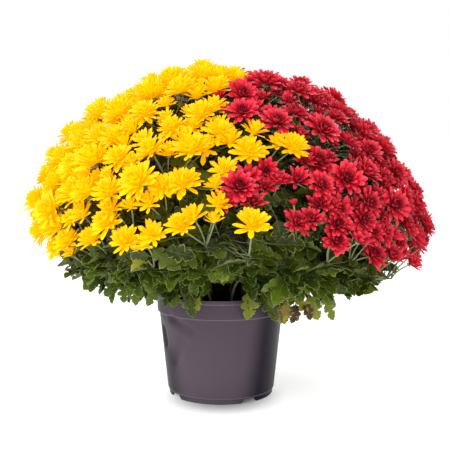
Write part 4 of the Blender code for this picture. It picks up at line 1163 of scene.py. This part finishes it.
def leafPatches(leaves, rng, kind="fine"):
    # a blade from its root along its direction: it drops by sag * along^2, its sides rise by
    # cup * |across| from the rib, its lobes wave as a sine, and it bends sideways by along^2
    form = leafShape
    shape, many = leafTemplates[kind], len(leaves)
    u, w, root = (allOf(leaves, key)[:, None] for key in ("direction", "face", "root"))
    v = np.cross(w, u)
    length, light, age = (allOf(leaves, key, 0.0)[:, None] for key in ("length", "light", "age"))
    sag, cup = (allOf(leaves, key, form[key])[:, None] + rng.uniform(*form[key + "Sway"], (many, 1))
                for key in ("sag", "cup"))
    s, c = shape["along"][None], shape["across"][None]
    phase, wave = rng.uniform(0, 6.28, (2, many, 1)), rng.uniform(*form["wave"], (many, 1))
    width = rng.uniform(*form["width"], (many, 1))
    waves = form["waveHeight"] * wave * np.sin(form["waveTurns"] * s + phase[0])
    drop = sag * s ** 2 - cup * np.abs(c) + waves * np.abs(c) / form["waveWidth"]
    sway = form["bend"] * np.sin(phase[1]) * s ** 2
    points = root + (length * s)[..., None] * u + (length * (c * width + sway))[..., None] * v
    points += (shape["lift"][None] - length * drop)[..., None] * w
    tint = np.clip(rng.normal(*form["tint"], (many, 1)) + light, 0, 1)
    shared = dict(along=s, across=c, edge=shape["edge"][None], tint=tint, age=age)
    upper = patch(points, noQuads, shape["upper"], leafTop, shape["edge"] > 0, **shared)
    # the under skin uses the same corners, so it only adds faces
    shift = (np.arange(many) * len(shape["along"]))[:, None, None]
    under = {"points": np.empty((0, 3)), "quads": noQuads, "finish": leafUnder, "sharp": np.empty(0, bool),
             "tris": (shape["under"][None] + shift).reshape(-1, 3), "sameAsLast": True,
             "values": {key: np.empty(0) for key in shared}}
    return [upper, under]


def joined(patches):
    # lets an under skin count its corners from the patch before it
    out = []
    for p in patches:
        if p.get("sameAsLast"):
            p = dict(p, tris=p["tris"] - len(out[-1]["points"]))
        out.append(p)
    return out


shoots = {
    "count": 12, "ring": 0.056, "radius": 0.0022, "level": 0.170, "top": 0.212, "reach": 0.154,
    "way": ((0.076, 0.0), (0.102, 0.35), (0.128, 0.70)),  # distance from the pot's axis, share of the climb
    "clearance": 0.020, "leaves": 6, "droop": (0.40, 0.85), "seed": 21, "neck": 0.012, "spreadOut": 0.7,
    "leafLength": 0.066, "soilTop": 0.134, "holeDepth": 0.026, "firstLeaf": 0.20, "lastDroop": 0.30,
    # how far a leaf turns from its shoot in degrees, and more towards the end; its face, its length
    "turn": (34, 26, 7), "face": 0.75, "faceSway": 0.15, "sizes": (0.86, 1.05), "sizeAlong": (0.86, 0.14),
    "stemLeaf": 0.060, "stemHeights": (0.216, 0.315), "stemReach": 0.085, "stemClear": 0.026,
    "stemShares": (0.66, 0.84), "stemSeed": 5, "borderHeading": 8, "borderClear": 0.020, "stalkBend": 0.022,
    "stemTurn": (40, 62), "stemDroop": (0.2, 0.6), "stemFace": 0.7, "stemSizes": (0.88, 1.08),
}


def shootHeading(k):
    # shoots at even headings all round, the first one half a step from the back
    return 360 * (k + 0.5) / shoots["count"] - 180


def shootPath(k):
    # the places that a shoot passes: up out of the soil, then outward over the rim while it climbs, as
    # high as the lowest blooms over it allow
    heading = shootHeading(k)
    lastBloom, _ = crownPoint(heading, lineAt(heading)[1])
    climb = min(lastBloom[2] - shoots["clearance"], shoots["top"]) - shoots["level"]
    low, level = shoots["soilTop"], shoots["level"]
    profile = [(shoots["ring"], low - shoots["holeDepth"]), (shoots["ring"], low + shoots["neck"])]
    profile += [(reach, level + share * climb) for reach, share in shoots["way"]]
    profile.append((shoots["reach"] + shoots["spreadOut"] * climb, level + climb))
    return np.array([towards(heading) * reach + upward * z for reach, z in profile])


def alongPath(path, share):
    # the point and direction a share of the way along the part of a shoot that bears leaves
    legs = path[2:]
    lengths = [np.linalg.norm(b - a) for a, b in zip(legs, legs[1:])]
    left = share * sum(lengths)
    for k, length in enumerate(lengths):
        if left <= length or k == len(lengths) - 1:
            step = legs[k + 1] - legs[k]
            return legs[k] + step * min(1.0, left / length), unit(step)
        left -= length


def leafOn(root, direction, face, length, **more):
    # one leaf; what its face has along its direction is taken off, so the two are at right angles
    return {"root": root, "direction": direction, "face": unit(face - direction * (face @ direction)),
            "length": length, **more}


def clearOfGap(leaf):
    # lifts a leaf that would hang before the gap at the front, where one looks over the rim into the
    # pot: the further out it is, the higher the line of sight over it
    lift = 0.0
    for place in (leaf["root"], leaf["root"] + leaf["direction"] * leaf["length"]):
        sight = skirt["gapHeight"] + skirt["gapSlope"] * max(0.0, -place[1] - pot["rim"])
        if skirt["gap"][0] < place[0] < skirt["gap"][1] and place[1] < 0:
            lift = max(lift, sight + skirt["gapHang"] * leaf["length"] - skirt["gapSpare"] - place[2])
    leaf["root"] = leaf["root"] + upward * lift
    return leaf


def withinBowl(leaf):
    # draws a leaf in by as much as its root or its end lies past the leafy bowl, which is as wide as its
    # reach at the top and narrows below by a slope
    middle, most = np.array([crown["x"], 0, 0]), 0.0
    for place in (leaf["root"], leaf["root"] + leaf["direction"] * leaf["length"]):
        limit = skirt["bowlReach"] - skirt["bowlSlope"] * max(0.0, skirt["bowlTop"] - place[2])
        most = max(most, np.linalg.norm((place - middle)[:2]) - limit)
    leaf["root"] = leaf["root"] - unit((leaf["root"] - middle) * (1, 1, 0)) * most
    return leaf


# how far along a big leaf its three start, how they turn and lift, how their faces and lengths vary
threeLeaves = {"end": 0.36, "endLength": 0.66, "endSway": 0.2, "sides": ((1, 0.02, 0.20), (-1, 0.12, 0.34)),
               "turn": (28, 52), "lift": 0.35, "sideSway": 0.35, "sideLength": (0.52, 0.66), "light": 0.2}
smallLeaves = {"seed": 31, "count": 11, "first": 0.02, "span": 0.95, "turn": (25, 105), "lift": (-0.7, 0.45),
               "face": 0.8, "faceSway": 0.25, "sizes": (0.55, 0.88), "light": (-0.1, 0.25)}


def threeOf(leaf, rng):
    # a big leaf of the solids is shown as three: one at its end and one on each side
    form = threeLeaves
    root, ahead, face, length = (leaf[key] for key in ("root", "direction", "face", "length"))
    across = np.cross(face, ahead)
    parts = [leafOn(root + ahead * length * form["end"], ahead, face + rng.normal(0, form["endSway"], 3),
                    length * form["endLength"])]
    for hand, share in [(hand, rng.uniform(low, high)) for hand, low, high in form["sides"]]:
        turn = math.radians(hand * rng.uniform(*form["turn"]))
        way = unit(turned(ahead, across, turn) + face * rng.uniform(-form["lift"], form["lift"]))
        parts.append(leafOn(root + ahead * length * share, way, face + rng.normal(0, form["sideSway"], 3),
                            length * rng.uniform(*form["sideLength"]),
                            light=rng.uniform(-form["light"], form["light"])))
    return parts


def mainShootLeaves(k, path):
    # the big leaves of a shoot, by turns to its left and right, with one more straight on at its end
    rng = default_rng([shoots["seed"], k])
    leaves, least, wider, either = [], *shoots["turn"]
    for n in range(shoots["leaves"]):
        share = shoots["firstLeaf"] + (1 - shoots["firstLeaf"]) * n / (shoots["leaves"] - 1)
        root, along = alongPath(path, share)
        last = n == shoots["leaves"] - 1
        hand = 0 if last else (1 if n % 2 else -1)
        turn = math.radians(hand * (least + wider * share + rng.uniform(-either, either)))
        across = unit(np.cross(along, upward))
        droop = rng.uniform(*shoots["droop"]) - (shoots["lastDroop"] if last else 0.0)
        direction = unit(turned(along, across, turn) - upward * droop)
        face = towards(shootHeading(k)) + upward * shoots["face"] + rng.normal(0, shoots["faceSway"], 3)
        size, grown = shoots["sizeAlong"]
        length = shoots["leafLength"] * rng.uniform(*shoots["sizes"]) * (size + grown * share)
        leaves.append(leafOn(root, direction, face, length))
    return leaves


def moreShootLeaves(k, path):
    # smaller leaves between the main ones, at even steps and on every side of the shoot
    form = smallLeaves
    rng = default_rng([form["seed"], k])
    leaves = []
    for n in range(form["count"]):
        root, along = alongPath(path, form["first"] + form["span"] * n / (form["count"] - 1))
        turn = math.radians((1 if n % 2 else -1) * rng.uniform(*form["turn"]))
        across = unit(np.cross(along, upward))
        direction = unit(turned(along, across, turn) + upward * rng.uniform(*form["lift"]))
        face = (towards(shootHeading(k)) + upward) * form["face"] + rng.normal(0, form["faceSway"], 3)
        leaves.append(leafOn(root, direction, face, shoots["leafLength"] * rng.uniform(*form["sizes"]),
                             light=rng.uniform(*form["light"])))
    return leaves


def mainStemLeaves(colour, lowSprays):
    # the big leaves of a stem, two on each branch, turned off it to either side and drooping. Those are
    # left out that would lie near a bloom, near a low spray's stalks, over the pot or past the border
    rng = default_rng([shoots["stemSeed"], len(colour)])
    side = -1 if colour == yellow else 1
    border = side * towards(shoots["borderHeading"] + 90)
    taken = [b["centre"] for b in blooms]
    taken += [b["centre"] - b["axis"] * shoots["stalkBend"] for b in blooms if b["low"]]
    for spray in lowSprays:
        end, back, fork = forkFoot(spray)
        taken += [fork, end, end + back * shoots["stalkBend"]]
    taken, leaves = np.array(taken), []
    for start, middle, end in branches[colour]:
        for n, share in enumerate(shoots["stemShares"]):
            knee = 0.25 * start + 0.5 * middle + 0.25 * end  # the branch half way along
            root = knee + (end - knee) * (2 * share - 1)
            along = unit(end - knee)
            turn = math.radians((1 if n % 2 else -1) * rng.uniform(*shoots["stemTurn"]))
            across = unit(np.cross(along, upward))
            direction = turned(along, across, turn)
            direction = unit(direction - upward * (direction[2] + rng.uniform(*shoots["stemDroop"])))
            face = unit(root * (1, 1, 0)) + upward * shoots["stemFace"] + rng.normal(0, shoots["faceSway"], 3)
            length = shoots["stemLeaf"] * rng.uniform(*shoots["stemSizes"])
            spine = root + np.outer((0.0, 0.35, 0.7, 1.0), direction * length)
            near = np.linalg.norm(taken[:, None] - spine[None], axis=2).min()
            if near < shoots["stemClear"] or math.hypot(root[0], root[1]) < shoots["stemReach"]:
                continue
            if not shoots["stemHeights"][0] < root[2] < shoots["stemHeights"][1]:
                continue
            if (spine @ border).min() < shoots["borderClear"] + crown["x"] * max(0, side):
                continue
            leaves.append(leafOn(root, direction, face, length))
    return leaves


underBlooms = {
    "seed": 37, "edge": 16, "each": (2, 3), "outSway": 0.02, "turn": 2.4, "sink": (0.014, 0.030),
    "deeper": (0.006, 0.014), "down": 0.7, "in": 0.6, "lift": 0.35, "face": (0.6, 0.8), "faceSway": 0.25,
    "length": (0.026, 0.042), "light": (-0.3, 0.2),
    # rings of leaves where the stalks of a low spray part
    "ring": 6, "ringSway": 0.25, "ringLift": (-0.25, 0.35), "ringDrop": 0.004, "ringLength": (0.030, 0.046),
    "ringLight": (0.0, 0.4),
}


def leavesUnderBlooms(colour):
    # leaves on the stalks under each bloom, more of them near the lower edge of the flowers, each at
    # its own turn round the bloom's axis and sunk back along it
    form = underBlooms
    rng = default_rng([form["seed"], len(colour)])
    leaves, sway = [], form["faceSway"]
    for bloom in everyBloom:
        if bloom["colour"] != colour:
            continue
        nearEdge = bool(bloom["fall"] > lineAt(bloom["heading"])[0] - form["edge"])
        for n in range(form["each"][nearEdge]):
            out = unit(bloom["axis"] * (1, 1, 0) + rng.normal(0, form["outSway"], 3) * (1, 1, 0))
            turn = rng.uniform(-form["turn"], form["turn"])
            flat = turned(out, np.cross(upward, out), turn)
            sink = rng.uniform(*form["sink"]) + form["deeper"][nearEdge] * n
            root = baseOf(bloom) - bloom["axis"] * sink * form["down"] - out * sink * form["in"]
            direction = unit(flat + upward * rng.uniform(-form["lift"], form["lift"]))
            outward, up = form["face"]
            face = out * outward + upward * up + rng.normal(0, sway, 3)
            leaves.append(withinBowl(leafOn(root, direction, face, rng.uniform(*form["length"]),
                                            light=rng.uniform(*form["light"]), low=nearEdge)))
    for fork in rosettes[colour]:
        for n in range(form["ring"]):
            either = rng.uniform(-form["ringSway"], form["ringSway"])
            turn = math.radians(360 * (n + either) / form["ring"])
            direction = unit(np.array([math.cos(turn), math.sin(turn), rng.uniform(*form["ringLift"])]))
            face = upward + rng.normal(0, sway, 3)
            root = fork - upward * (form["ringDrop"] * rng.uniform(0, 2))
            leaves.append(withinBowl(leafOn(root, direction, face, rng.uniform(*form["ringLength"]),
                                            light=rng.uniform(*form["ringLight"]), low=True)))
    return leaves


inner = {
    "count": 820, "seed": 47, "depth": (0.56, 0.84), "bareDepth": (0.66, 0.95), "length": (0.034, 0.050),
    # below this height and this far to the front, the leaves are seen between the low stalks
    "seenBelow": 0.300, "seenFront": 0.050,
    "span": 1.12, "edge": 4, "middle": (0.3, 0.175), "turnSway": 0.2, "faceSway": 0.28, "lowest": 0.150,
    # a darker leaf colour: painted shade inside the dome
    "light": -0.45,
}


def innerLeaves():
    # big leaves inside the dome, painted dark as shade there, a golden angle apart, at falls whose
    # cosines go down evenly; each lies a share of the way from the middle of the dome to its skin, turned
    # to face outward
    rng = default_rng(inner["seed"])
    leaves = []
    middle = np.array([inner["middle"][0] * crown["x"], 0, inner["middle"][1]])
    for n in range(inner["count"]):
        heading = (n * goldenDeg) % 360 - 180
        fall = math.degrees(math.acos(1 - inner["span"] * (n + 0.5) / inner["count"]))
        point, normal = crownPoint(heading, fall)
        depth = rng.uniform(*inner["bareDepth" if fall > lineAt(heading)[0] - inner["edge"] else "depth"])
        root = middle + (point - middle) * depth
        turn = rng.uniform(0, 2 * math.pi)
        side = unit(np.cross(normal, [0.1, 0.2, 1.0]))
        direction = unit(turned(side, np.cross(normal, side), turn) + rng.normal(0, inner["turnSway"], 3))
        face = normal + rng.normal(0, inner["faceSway"], 3)
        length = rng.uniform(*inner["length"])
        if (root + direction * length)[2] < inner["lowest"] or root[2] < inner["lowest"]:
            continue
        seen = root[2] < inner["seenBelow"] and root[1] < -inner["seenFront"]
        leaves.append(leafOn(root - direction * length * 0.5, direction, face, length, light=inner["light"],
                             low=seen))
    return leaves


skirt = {
    "count": 490, "seed": 41, "inner": (0.104, 0.160), "outerDrop": 0.012, "length": (0.028, 0.048),
    # the leafy bowl narrows downwards: its reach at a height, and how much less below that
    "bowlReach": 0.250, "bowlTop": 0.200, "bowlSlope": 1.3,
    # a gap at the front, where one looks into the pot: from left to right, the height that leaves
    # keep above over the rim, and how much higher for each metre further out
    "gap": (-0.022, 0.034), "gapHeight": 0.181, "gapSlope": 0.16, "gapHang": 0.3, "gapSpare": 0.008,
    # leaves that hang over the rim, beside it and from low twigs, some of them dry:
    # heading, distance from the axis, height, length, age, lean to the right
    "hanging": ((-26, 0.101, 0.170, 0.042, 0.0, 0.12), (-18, 0.101, 0.163, 0.024, 0.30, 0.0),
                (-35, 0.100, 0.167, 0.028, 0.0, -0.1), (21, 0.101, 0.170, 0.043, 0.26, 0.05),
                (31, 0.102, 0.166, 0.046, 0.08, 0.42), (41, 0.104, 0.170, 0.050, 0.0, -0.05),
                (27, 0.103, 0.168, 0.034, 0.0, -0.3), (46, 0.112, 0.160, 0.044, 0.75, 0.1),
                (50, 0.118, 0.157, 0.040, 0.35, -0.3), (55, 0.124, 0.158, 0.040, 0.5, 0.5),
                (49, 0.122, 0.151, 0.034, 0.60, -0.5), (60, 0.140, 0.160, 0.042, 0.3, 0.2),
                (54, 0.130, 0.149, 0.032, 1.0, -0.2), (66, 0.156, 0.160, 0.044, 0.25, 0.15),
                (58, 0.138, 0.148, 0.028, 0.95, 0.2), (-50, 0.140, 0.186, 0.042, 0.1, -0.1),
                (-60, 0.160, 0.184, 0.036, 0.0, -0.5), (-58, 0.158, 0.178, 0.030, 0.0, 0.3),
                (-68, 0.178, 0.190, 0.036, 0.0, -0.4), (-44, 0.122, 0.176, 0.036, 0.0, -0.2),
                (46, 0.110, 0.154, 0.026, 0.85, 0.2), (49, 0.114, 0.146, 0.024, 1.0, -0.4),
                (52, 0.120, 0.144, 0.026, 0.55, 0.4), (55, 0.126, 0.141, 0.022, 0.95, 0.0),
                (47, 0.114, 0.141, 0.022, 0.60, -0.2), (58, 0.134, 0.145, 0.024, 0.80, 0.3)),
    # leaves that stand out at the lower right: heading, distance from the axis, height, length
    "standing": ((62, 0.176, 0.166, 0.032), (70, 0.196, 0.174, 0.034), (76, 0.212, 0.184, 0.032),
                 (80, 0.216, 0.194, 0.030), (84, 0.204, 0.180, 0.028), (72, 0.208, 0.190, 0.032),
                 (66, 0.188, 0.180, 0.034), (90, 0.216, 0.202, 0.034), (78, 0.220, 0.204, 0.030),
                 (86, 0.230, 0.198, 0.026), (94, 0.230, 0.202, 0.026), (88, 0.220, 0.190, 0.028),
                 (82, 0.232, 0.206, 0.024)),
    # the bowl's leaves: how they lie between the rim and the flowers, and how they turn, hang and face
    "goldenShare": 0.61803, "headingSway": 8, "sharePower": 0.62, "heightPower": 1.25, "lowestFall": 96,
    "inFromEdge": 0.030, "height": (-0.004, 0.026), "turn": 0.85, "hangs": 0.55, "hang": (0.35, 1.1),
    "hangLess": 0.35, "rise": 0.35, "riseMost": 0.45, "faceOut": (0.3, 1.1), "faceUp": (0.3, 1.0),
    "faceSway": 0.38, "old": 0.06, "oldAge": (0.25, 0.5), "potClear": 0.098, "light": (-0.3, 0.25),
}


def skirtLeaves():
    # leaves all over the bowl between the rim of the pot and the lower edge of the flowers: headings
    # a golden angle apart, and outward a golden share on, raised to a power. Then those placed singly
    rng = default_rng(skirt["seed"])
    leaves, (innerReach, innerHeight) = [], skirt["inner"]
    for n in range(skirt["count"]):
        heading = n * goldenDeg + rng.uniform(-skirt["headingSway"], skirt["headingSway"])
        heading = heading % 360 - 180
        share = ((n * skirt["goldenShare"]) % 1) ** skirt["sharePower"]
        edge, _ = crownPoint(heading, min(lineAt(heading)[1], skirt["lowestFall"]))
        out = towards(heading)
        reach = innerReach + (edge @ out - skirt["inFromEdge"] - innerReach) * share
        z = innerHeight + (edge[2] - skirt["outerDrop"] - innerHeight) * share ** skirt["heightPower"]
        z += rng.uniform(*skirt["height"])
        flat = turned(out, np.cross(upward, out), rng.normal(0, skirt["turn"]))
        if rng.uniform() < skirt["hangs"]:
            slope = -rng.uniform(*skirt["hang"]) * (1.0 - skirt["hangLess"] * share)
        else:
            slope = rng.uniform(-skirt["rise"], skirt["riseMost"])
        direction = unit(flat + upward * slope)
        face = out * rng.uniform(*skirt["faceOut"]) + upward * rng.uniform(*skirt["faceUp"])
        face = face + rng.normal(0, skirt["faceSway"], 3)
        length = rng.uniform(*skirt["length"])
        age = rng.uniform(*skirt["oldAge"]) if rng.uniform() < skirt["old"] else 0.0
        reach += max(0.0, skirt["potClear"] - (reach + length * min(0.0, direction @ out)))
        root = out * reach + np.array([crown["x"] * share, 0, z])
        leaf = leafOn(root, direction, face, length, age=age, light=rng.uniform(*skirt["light"]))
        leaves.append(clearOfGap(withinBowl(leaf)))
    for heading, reach, z, length, age, lean in skirt["hanging"]:
        out = towards(heading)
        direction = unit(out * 0.25 + np.array([lean + rng.uniform(-0.08, 0.08), 0, -0.9]))
        face = out * 0.5 + np.array([0, -0.7, 0.35]) + rng.normal(0, 0.2, 3)
        leaves.append(leafOn(out * reach + upward * z, direction, face, length, age=age, light=0.2, sag=0.05))
    for heading, reach, z, length in skirt["standing"]:
        out = towards(heading)
        direction = unit(out + np.array([0, rng.uniform(-0.4, 0.4), rng.uniform(-0.45, 0.05)]))
        face = np.array([0, -0.5, 0.8]) + rng.normal(0, 0.2, 3)
        leaves.append(leafOn(out * reach + upward * z, direction, face, length))
    return leaves


def twigPatch(leaves, bones, rings):
    # a stalk for each leaf, from the nearest place on the wood that lies inward of it
    roots, directions = allOf(leaves, "root"), allOf(leaves, "direction")
    gap = np.linalg.norm(roots[:, None] - bones[None], axis=2)
    inward = np.linalg.norm(bones[:, :2], axis=1)[None] - np.linalg.norm(roots[:, :2], axis=1)[:, None]
    gap = gap + np.where(inward > 0.004, 0.05, 0.0)
    start = bones[gap.argmin(1)]
    reach = np.linalg.norm(roots - start, axis=1)[:, None]
    paths = bent((start, roots - directions * reach * 0.45, roots + directions * 0.0015), rings)
    return tubes(paths, 0.0007 * np.linspace(1.3, 0.8, rings)[None], 3, stalkSkin, tint=0.1, age=0.45)


leafRng = default_rng(43)
shootBones = []
for k in range(shoots["count"]):
    path = shootPath(k)
    steps = [np.linspace(a, b, 8, endpoint=False) for a, b in zip(path, path[1:])]
    fine = np.concatenate([*steps, path[-1:]])
    for _ in range(3):
        fine[1:-1] = (fine[:-2] + fine[2:] + 2 * fine[1:-1]) / 4  # each place drawn to its neighbours' mean
    shootBones.append(fine)
    leaves = [part for leaf in mainShootLeaves(k, path) for part in threeOf(leaf, leafRng)]
    leaves = [clearOfGap(withinBowl(leaf)) for leaf in leaves + moreShootLeaves(k, path)]
    radii = shoots["radius"] * np.linspace(1, 0.5, len(fine))[None]
    patches = [tubes(fine[None], radii, 8, stalkSkin, tint=0.2, age=0.35), *leafPatches(leaves, leafRng)]
    newPiece(f"leafyShoot{k + 1:02d}", joined(patches), [stalkSkin, leafTop, leafUnder],
             [f"leafy_shoot_{k + 1:02d}"])
print("leafy shoots done")

bowlLeaves, domeLeaves = skirtLeaves(), innerLeaves()
for colour in (yellow, red):
    bends = [np.array(points) for points in zip(*branches[colour])]
    paths = bent(bends, 21)
    x = stems["trunkX"][colour]
    heights = np.linspace(shoots["soilTop"] - shoots["holeDepth"], stems["trunkTop"] + 0.002, 14)
    trunk = np.stack([x + 0 * heights, 0 * heights, heights], -1)[None]
    trunkRadii = stems["trunkRadius"] * np.linspace(1.0, 0.82, 14)[None]
    patches = [
        tubes(trunk, trunkRadii, 14, stalkSkin, tint=0.0, age=0.9),
        tubes(paths, stems["branchRadius"] * np.linspace(1.25, 0.75, 21)[None], 7, stalkSkin,
              tint=0.35, age=alongTube(0.8, 0.0, 21, 7)),
        *sprayStalks[colour],
    ]
    lowSprays = [s["blooms"] for s in sprays if s["colour"] == colour and s["low"]]
    ownSide = towards(shoots["borderHeading"] + 90) * (-1 if colour == yellow else 1)
    bowl, inside = ([leaf for leaf in some if leaf["root"] @ ownSide > 0]
                    for some in (bowlLeaves, domeLeaves))
    bones = np.concatenate([paths[:, 6:].reshape(-1, 3), *shootBones])
    under = leavesUnderBlooms(colour)
    main = [part for leaf in mainStemLeaves(colour, lowSprays) for part in threeOf(leaf, leafRng)]
    low, high = ([leaf for leaf in under + inside if leaf["low"] == seen] for seen in (True, False))
    for leaves, kind in ((main + bowl, "fine"), (low, "plain"), (high, "simple")):
        patches += leafPatches(leaves, leafRng, kind)
    patches += [twigPatch(bowl + low, bones, 4), twigPatch(high, bones, 2)]
    newPiece(colour + "StemAndLeaves", joined(patches), [stalkSkin, leafTop, leafUnder],
             [colour + "_stem"])
print("stems and leaves done")

# studio

studio = {
    "sheet": "#C8C8C8", "shaded": "#A0A0A2", "sheetGlow": 0.66, "sheetRadius": 40.0, "roughness": 0.9,
    "gloss": 0.1,
    # a painted shadow: the sheet dims round a place a little in front of the pot's axis
    "dim": (0.030, 0.100), "dimmed": 0.05, "dimForward": 0.040,
    # the room is darker high up to both sides, from one share of the direction to another
    "roomStrength": 1.0, "sideStrength": 0.20, "side": (0.30, 0.80), "high": (0.20, 0.40),
    "cameraHeight": 0.367, "cameraBack": 1.25, "cameraRight": 0.006, "pitchDeg": 5.40, "lensMm": 67.92,
    "sensorMm": 36.0, "aimHeight": 0.25,
    # soft lights: place, size in metres, watts
    "lights": (((-1.35, -1.45, 1.55), 1.5, 50.0), ((0.5, -2.2, 0.55), 1.2, 14.0),
               ((0.5, 1.4, 1.9), 1.2, 22.0)),
}


def makeRoom():
    # an even white room, darker high up to both sides: |x| and z of the direction each pass a smooth
    # step, and their product takes the strength from one to the other
    world = bpy.data.worlds.new("whiteRoom")
    bpy.context.scene.world = world
    world.use_nodes = True
    sky = world.node_tree
    direction = addNode(sky, "TexCoord", out="Generated")
    x, z = (addNode(sky, "SeparateXYZ", [direction], out) for out in (0, 2))
    beside = addNode(sky, "Math", [x], operation="ABSOLUTE")
    beside, above = (addNode(sky, "MapRange", (value, *studio[key]), interpolation_type="SMOOTHSTEP")
                     for value, key in ((beside, "side"), (z, "high")))
    share = addNode(sky, "Math", (beside, above), operation="MULTIPLY")
    change = studio["sideStrength"] - studio["roomStrength"]
    strength = addNode(sky, "Math", (share, change, studio["roomStrength"]), operation="MULTIPLY_ADD")
    fill(sky, sky.nodes["Background"], {0: "#FFFFFF", 1: strength})


def makeSheet():
    # a round opal sheet that glows, so that it is evenly bright and shadows on it stay pale. A painted
    # shadow: both its glow and its colour dim by a smooth step of the distance from a place under the pot
    sheet, tree, _ = newFinish("opalAcrylicSheet", ())
    place = addNode(tree, "TexCoord", out="Object")
    middle = tuple(potAxis - (0, studio["dimForward"], 0))
    distance = addNode(tree, "VectorMath", (place, middle), "Value", operation="DISTANCE")
    step = (distance, *studio["dim"])
    away = addNode(tree, "MapRange", step, interpolation_type="SMOOTHSTEP")
    glow = addNode(tree, "MapRange", (*step, studio["dimmed"], studio["sheetGlow"]),
                   interpolation_type="SMOOTHSTEP")
    colour = addNode(tree, "Mix", {0: away, 6: studio["shaded"], 7: studio["sheet"]}, 2, data_type="RGBA")
    fill(tree, tree.nodes["Principled BSDF"], {
        "Base Color": colour, "Roughness": studio["roughness"], "Specular IOR Level": studio["gloss"],
        "Emission Color": "#FFFFFF", "Emission Strength": glow,
    })
    a = np.linspace(0, 2 * math.pi, 64, endpoint=False)
    corners = np.stack([np.cos(a), np.sin(a), 0 * a], -1) * studio["sheetRadius"]
    mesh = bpy.data.meshes.new("floor")
    mesh.from_pydata(corners.tolist(), [], [tuple(range(64))])
    mesh.materials.append(sheet)
    placed("floor", mesh)


def makeLights():
    # round soft lights, each turned from looking down to look at the middle of the plant
    for n, (place, size, watts) in enumerate(studio["lights"]):
        light = bpy.data.lights.new(f"softbox{n + 1}", "AREA")
        light.shape, light.size, light.energy = "DISK", size, watts
        lamp = placed(light.name, light)
        lamp.location = place
        aim = unit(upward * studio["aimHeight"] - place)
        lamp.rotation_euler = (math.acos(-aim[2]), 0, math.atan2(-aim[0], aim[1]))


def makeCamera():
    # the photograph's view: in front of the pot's axis, tilted a little down
    camera = bpy.data.cameras.new("camera")
    camera.lens, camera.sensor_width = studio["lensMm"], studio["sensorMm"]
    eye = placed("camera", camera)
    eye.location = potAxis + (studio["cameraRight"], -studio["cameraBack"], studio["cameraHeight"])
    eye.rotation_euler = (math.radians(90 - studio["pitchDeg"]), 0, 0)
    bpy.context.scene.camera = eye


bpy.context.scene.view_settings.view_transform = "Standard"
makeRoom()
makeSheet()
makeLights()
makeCamera()
print("studio ready;", totals)
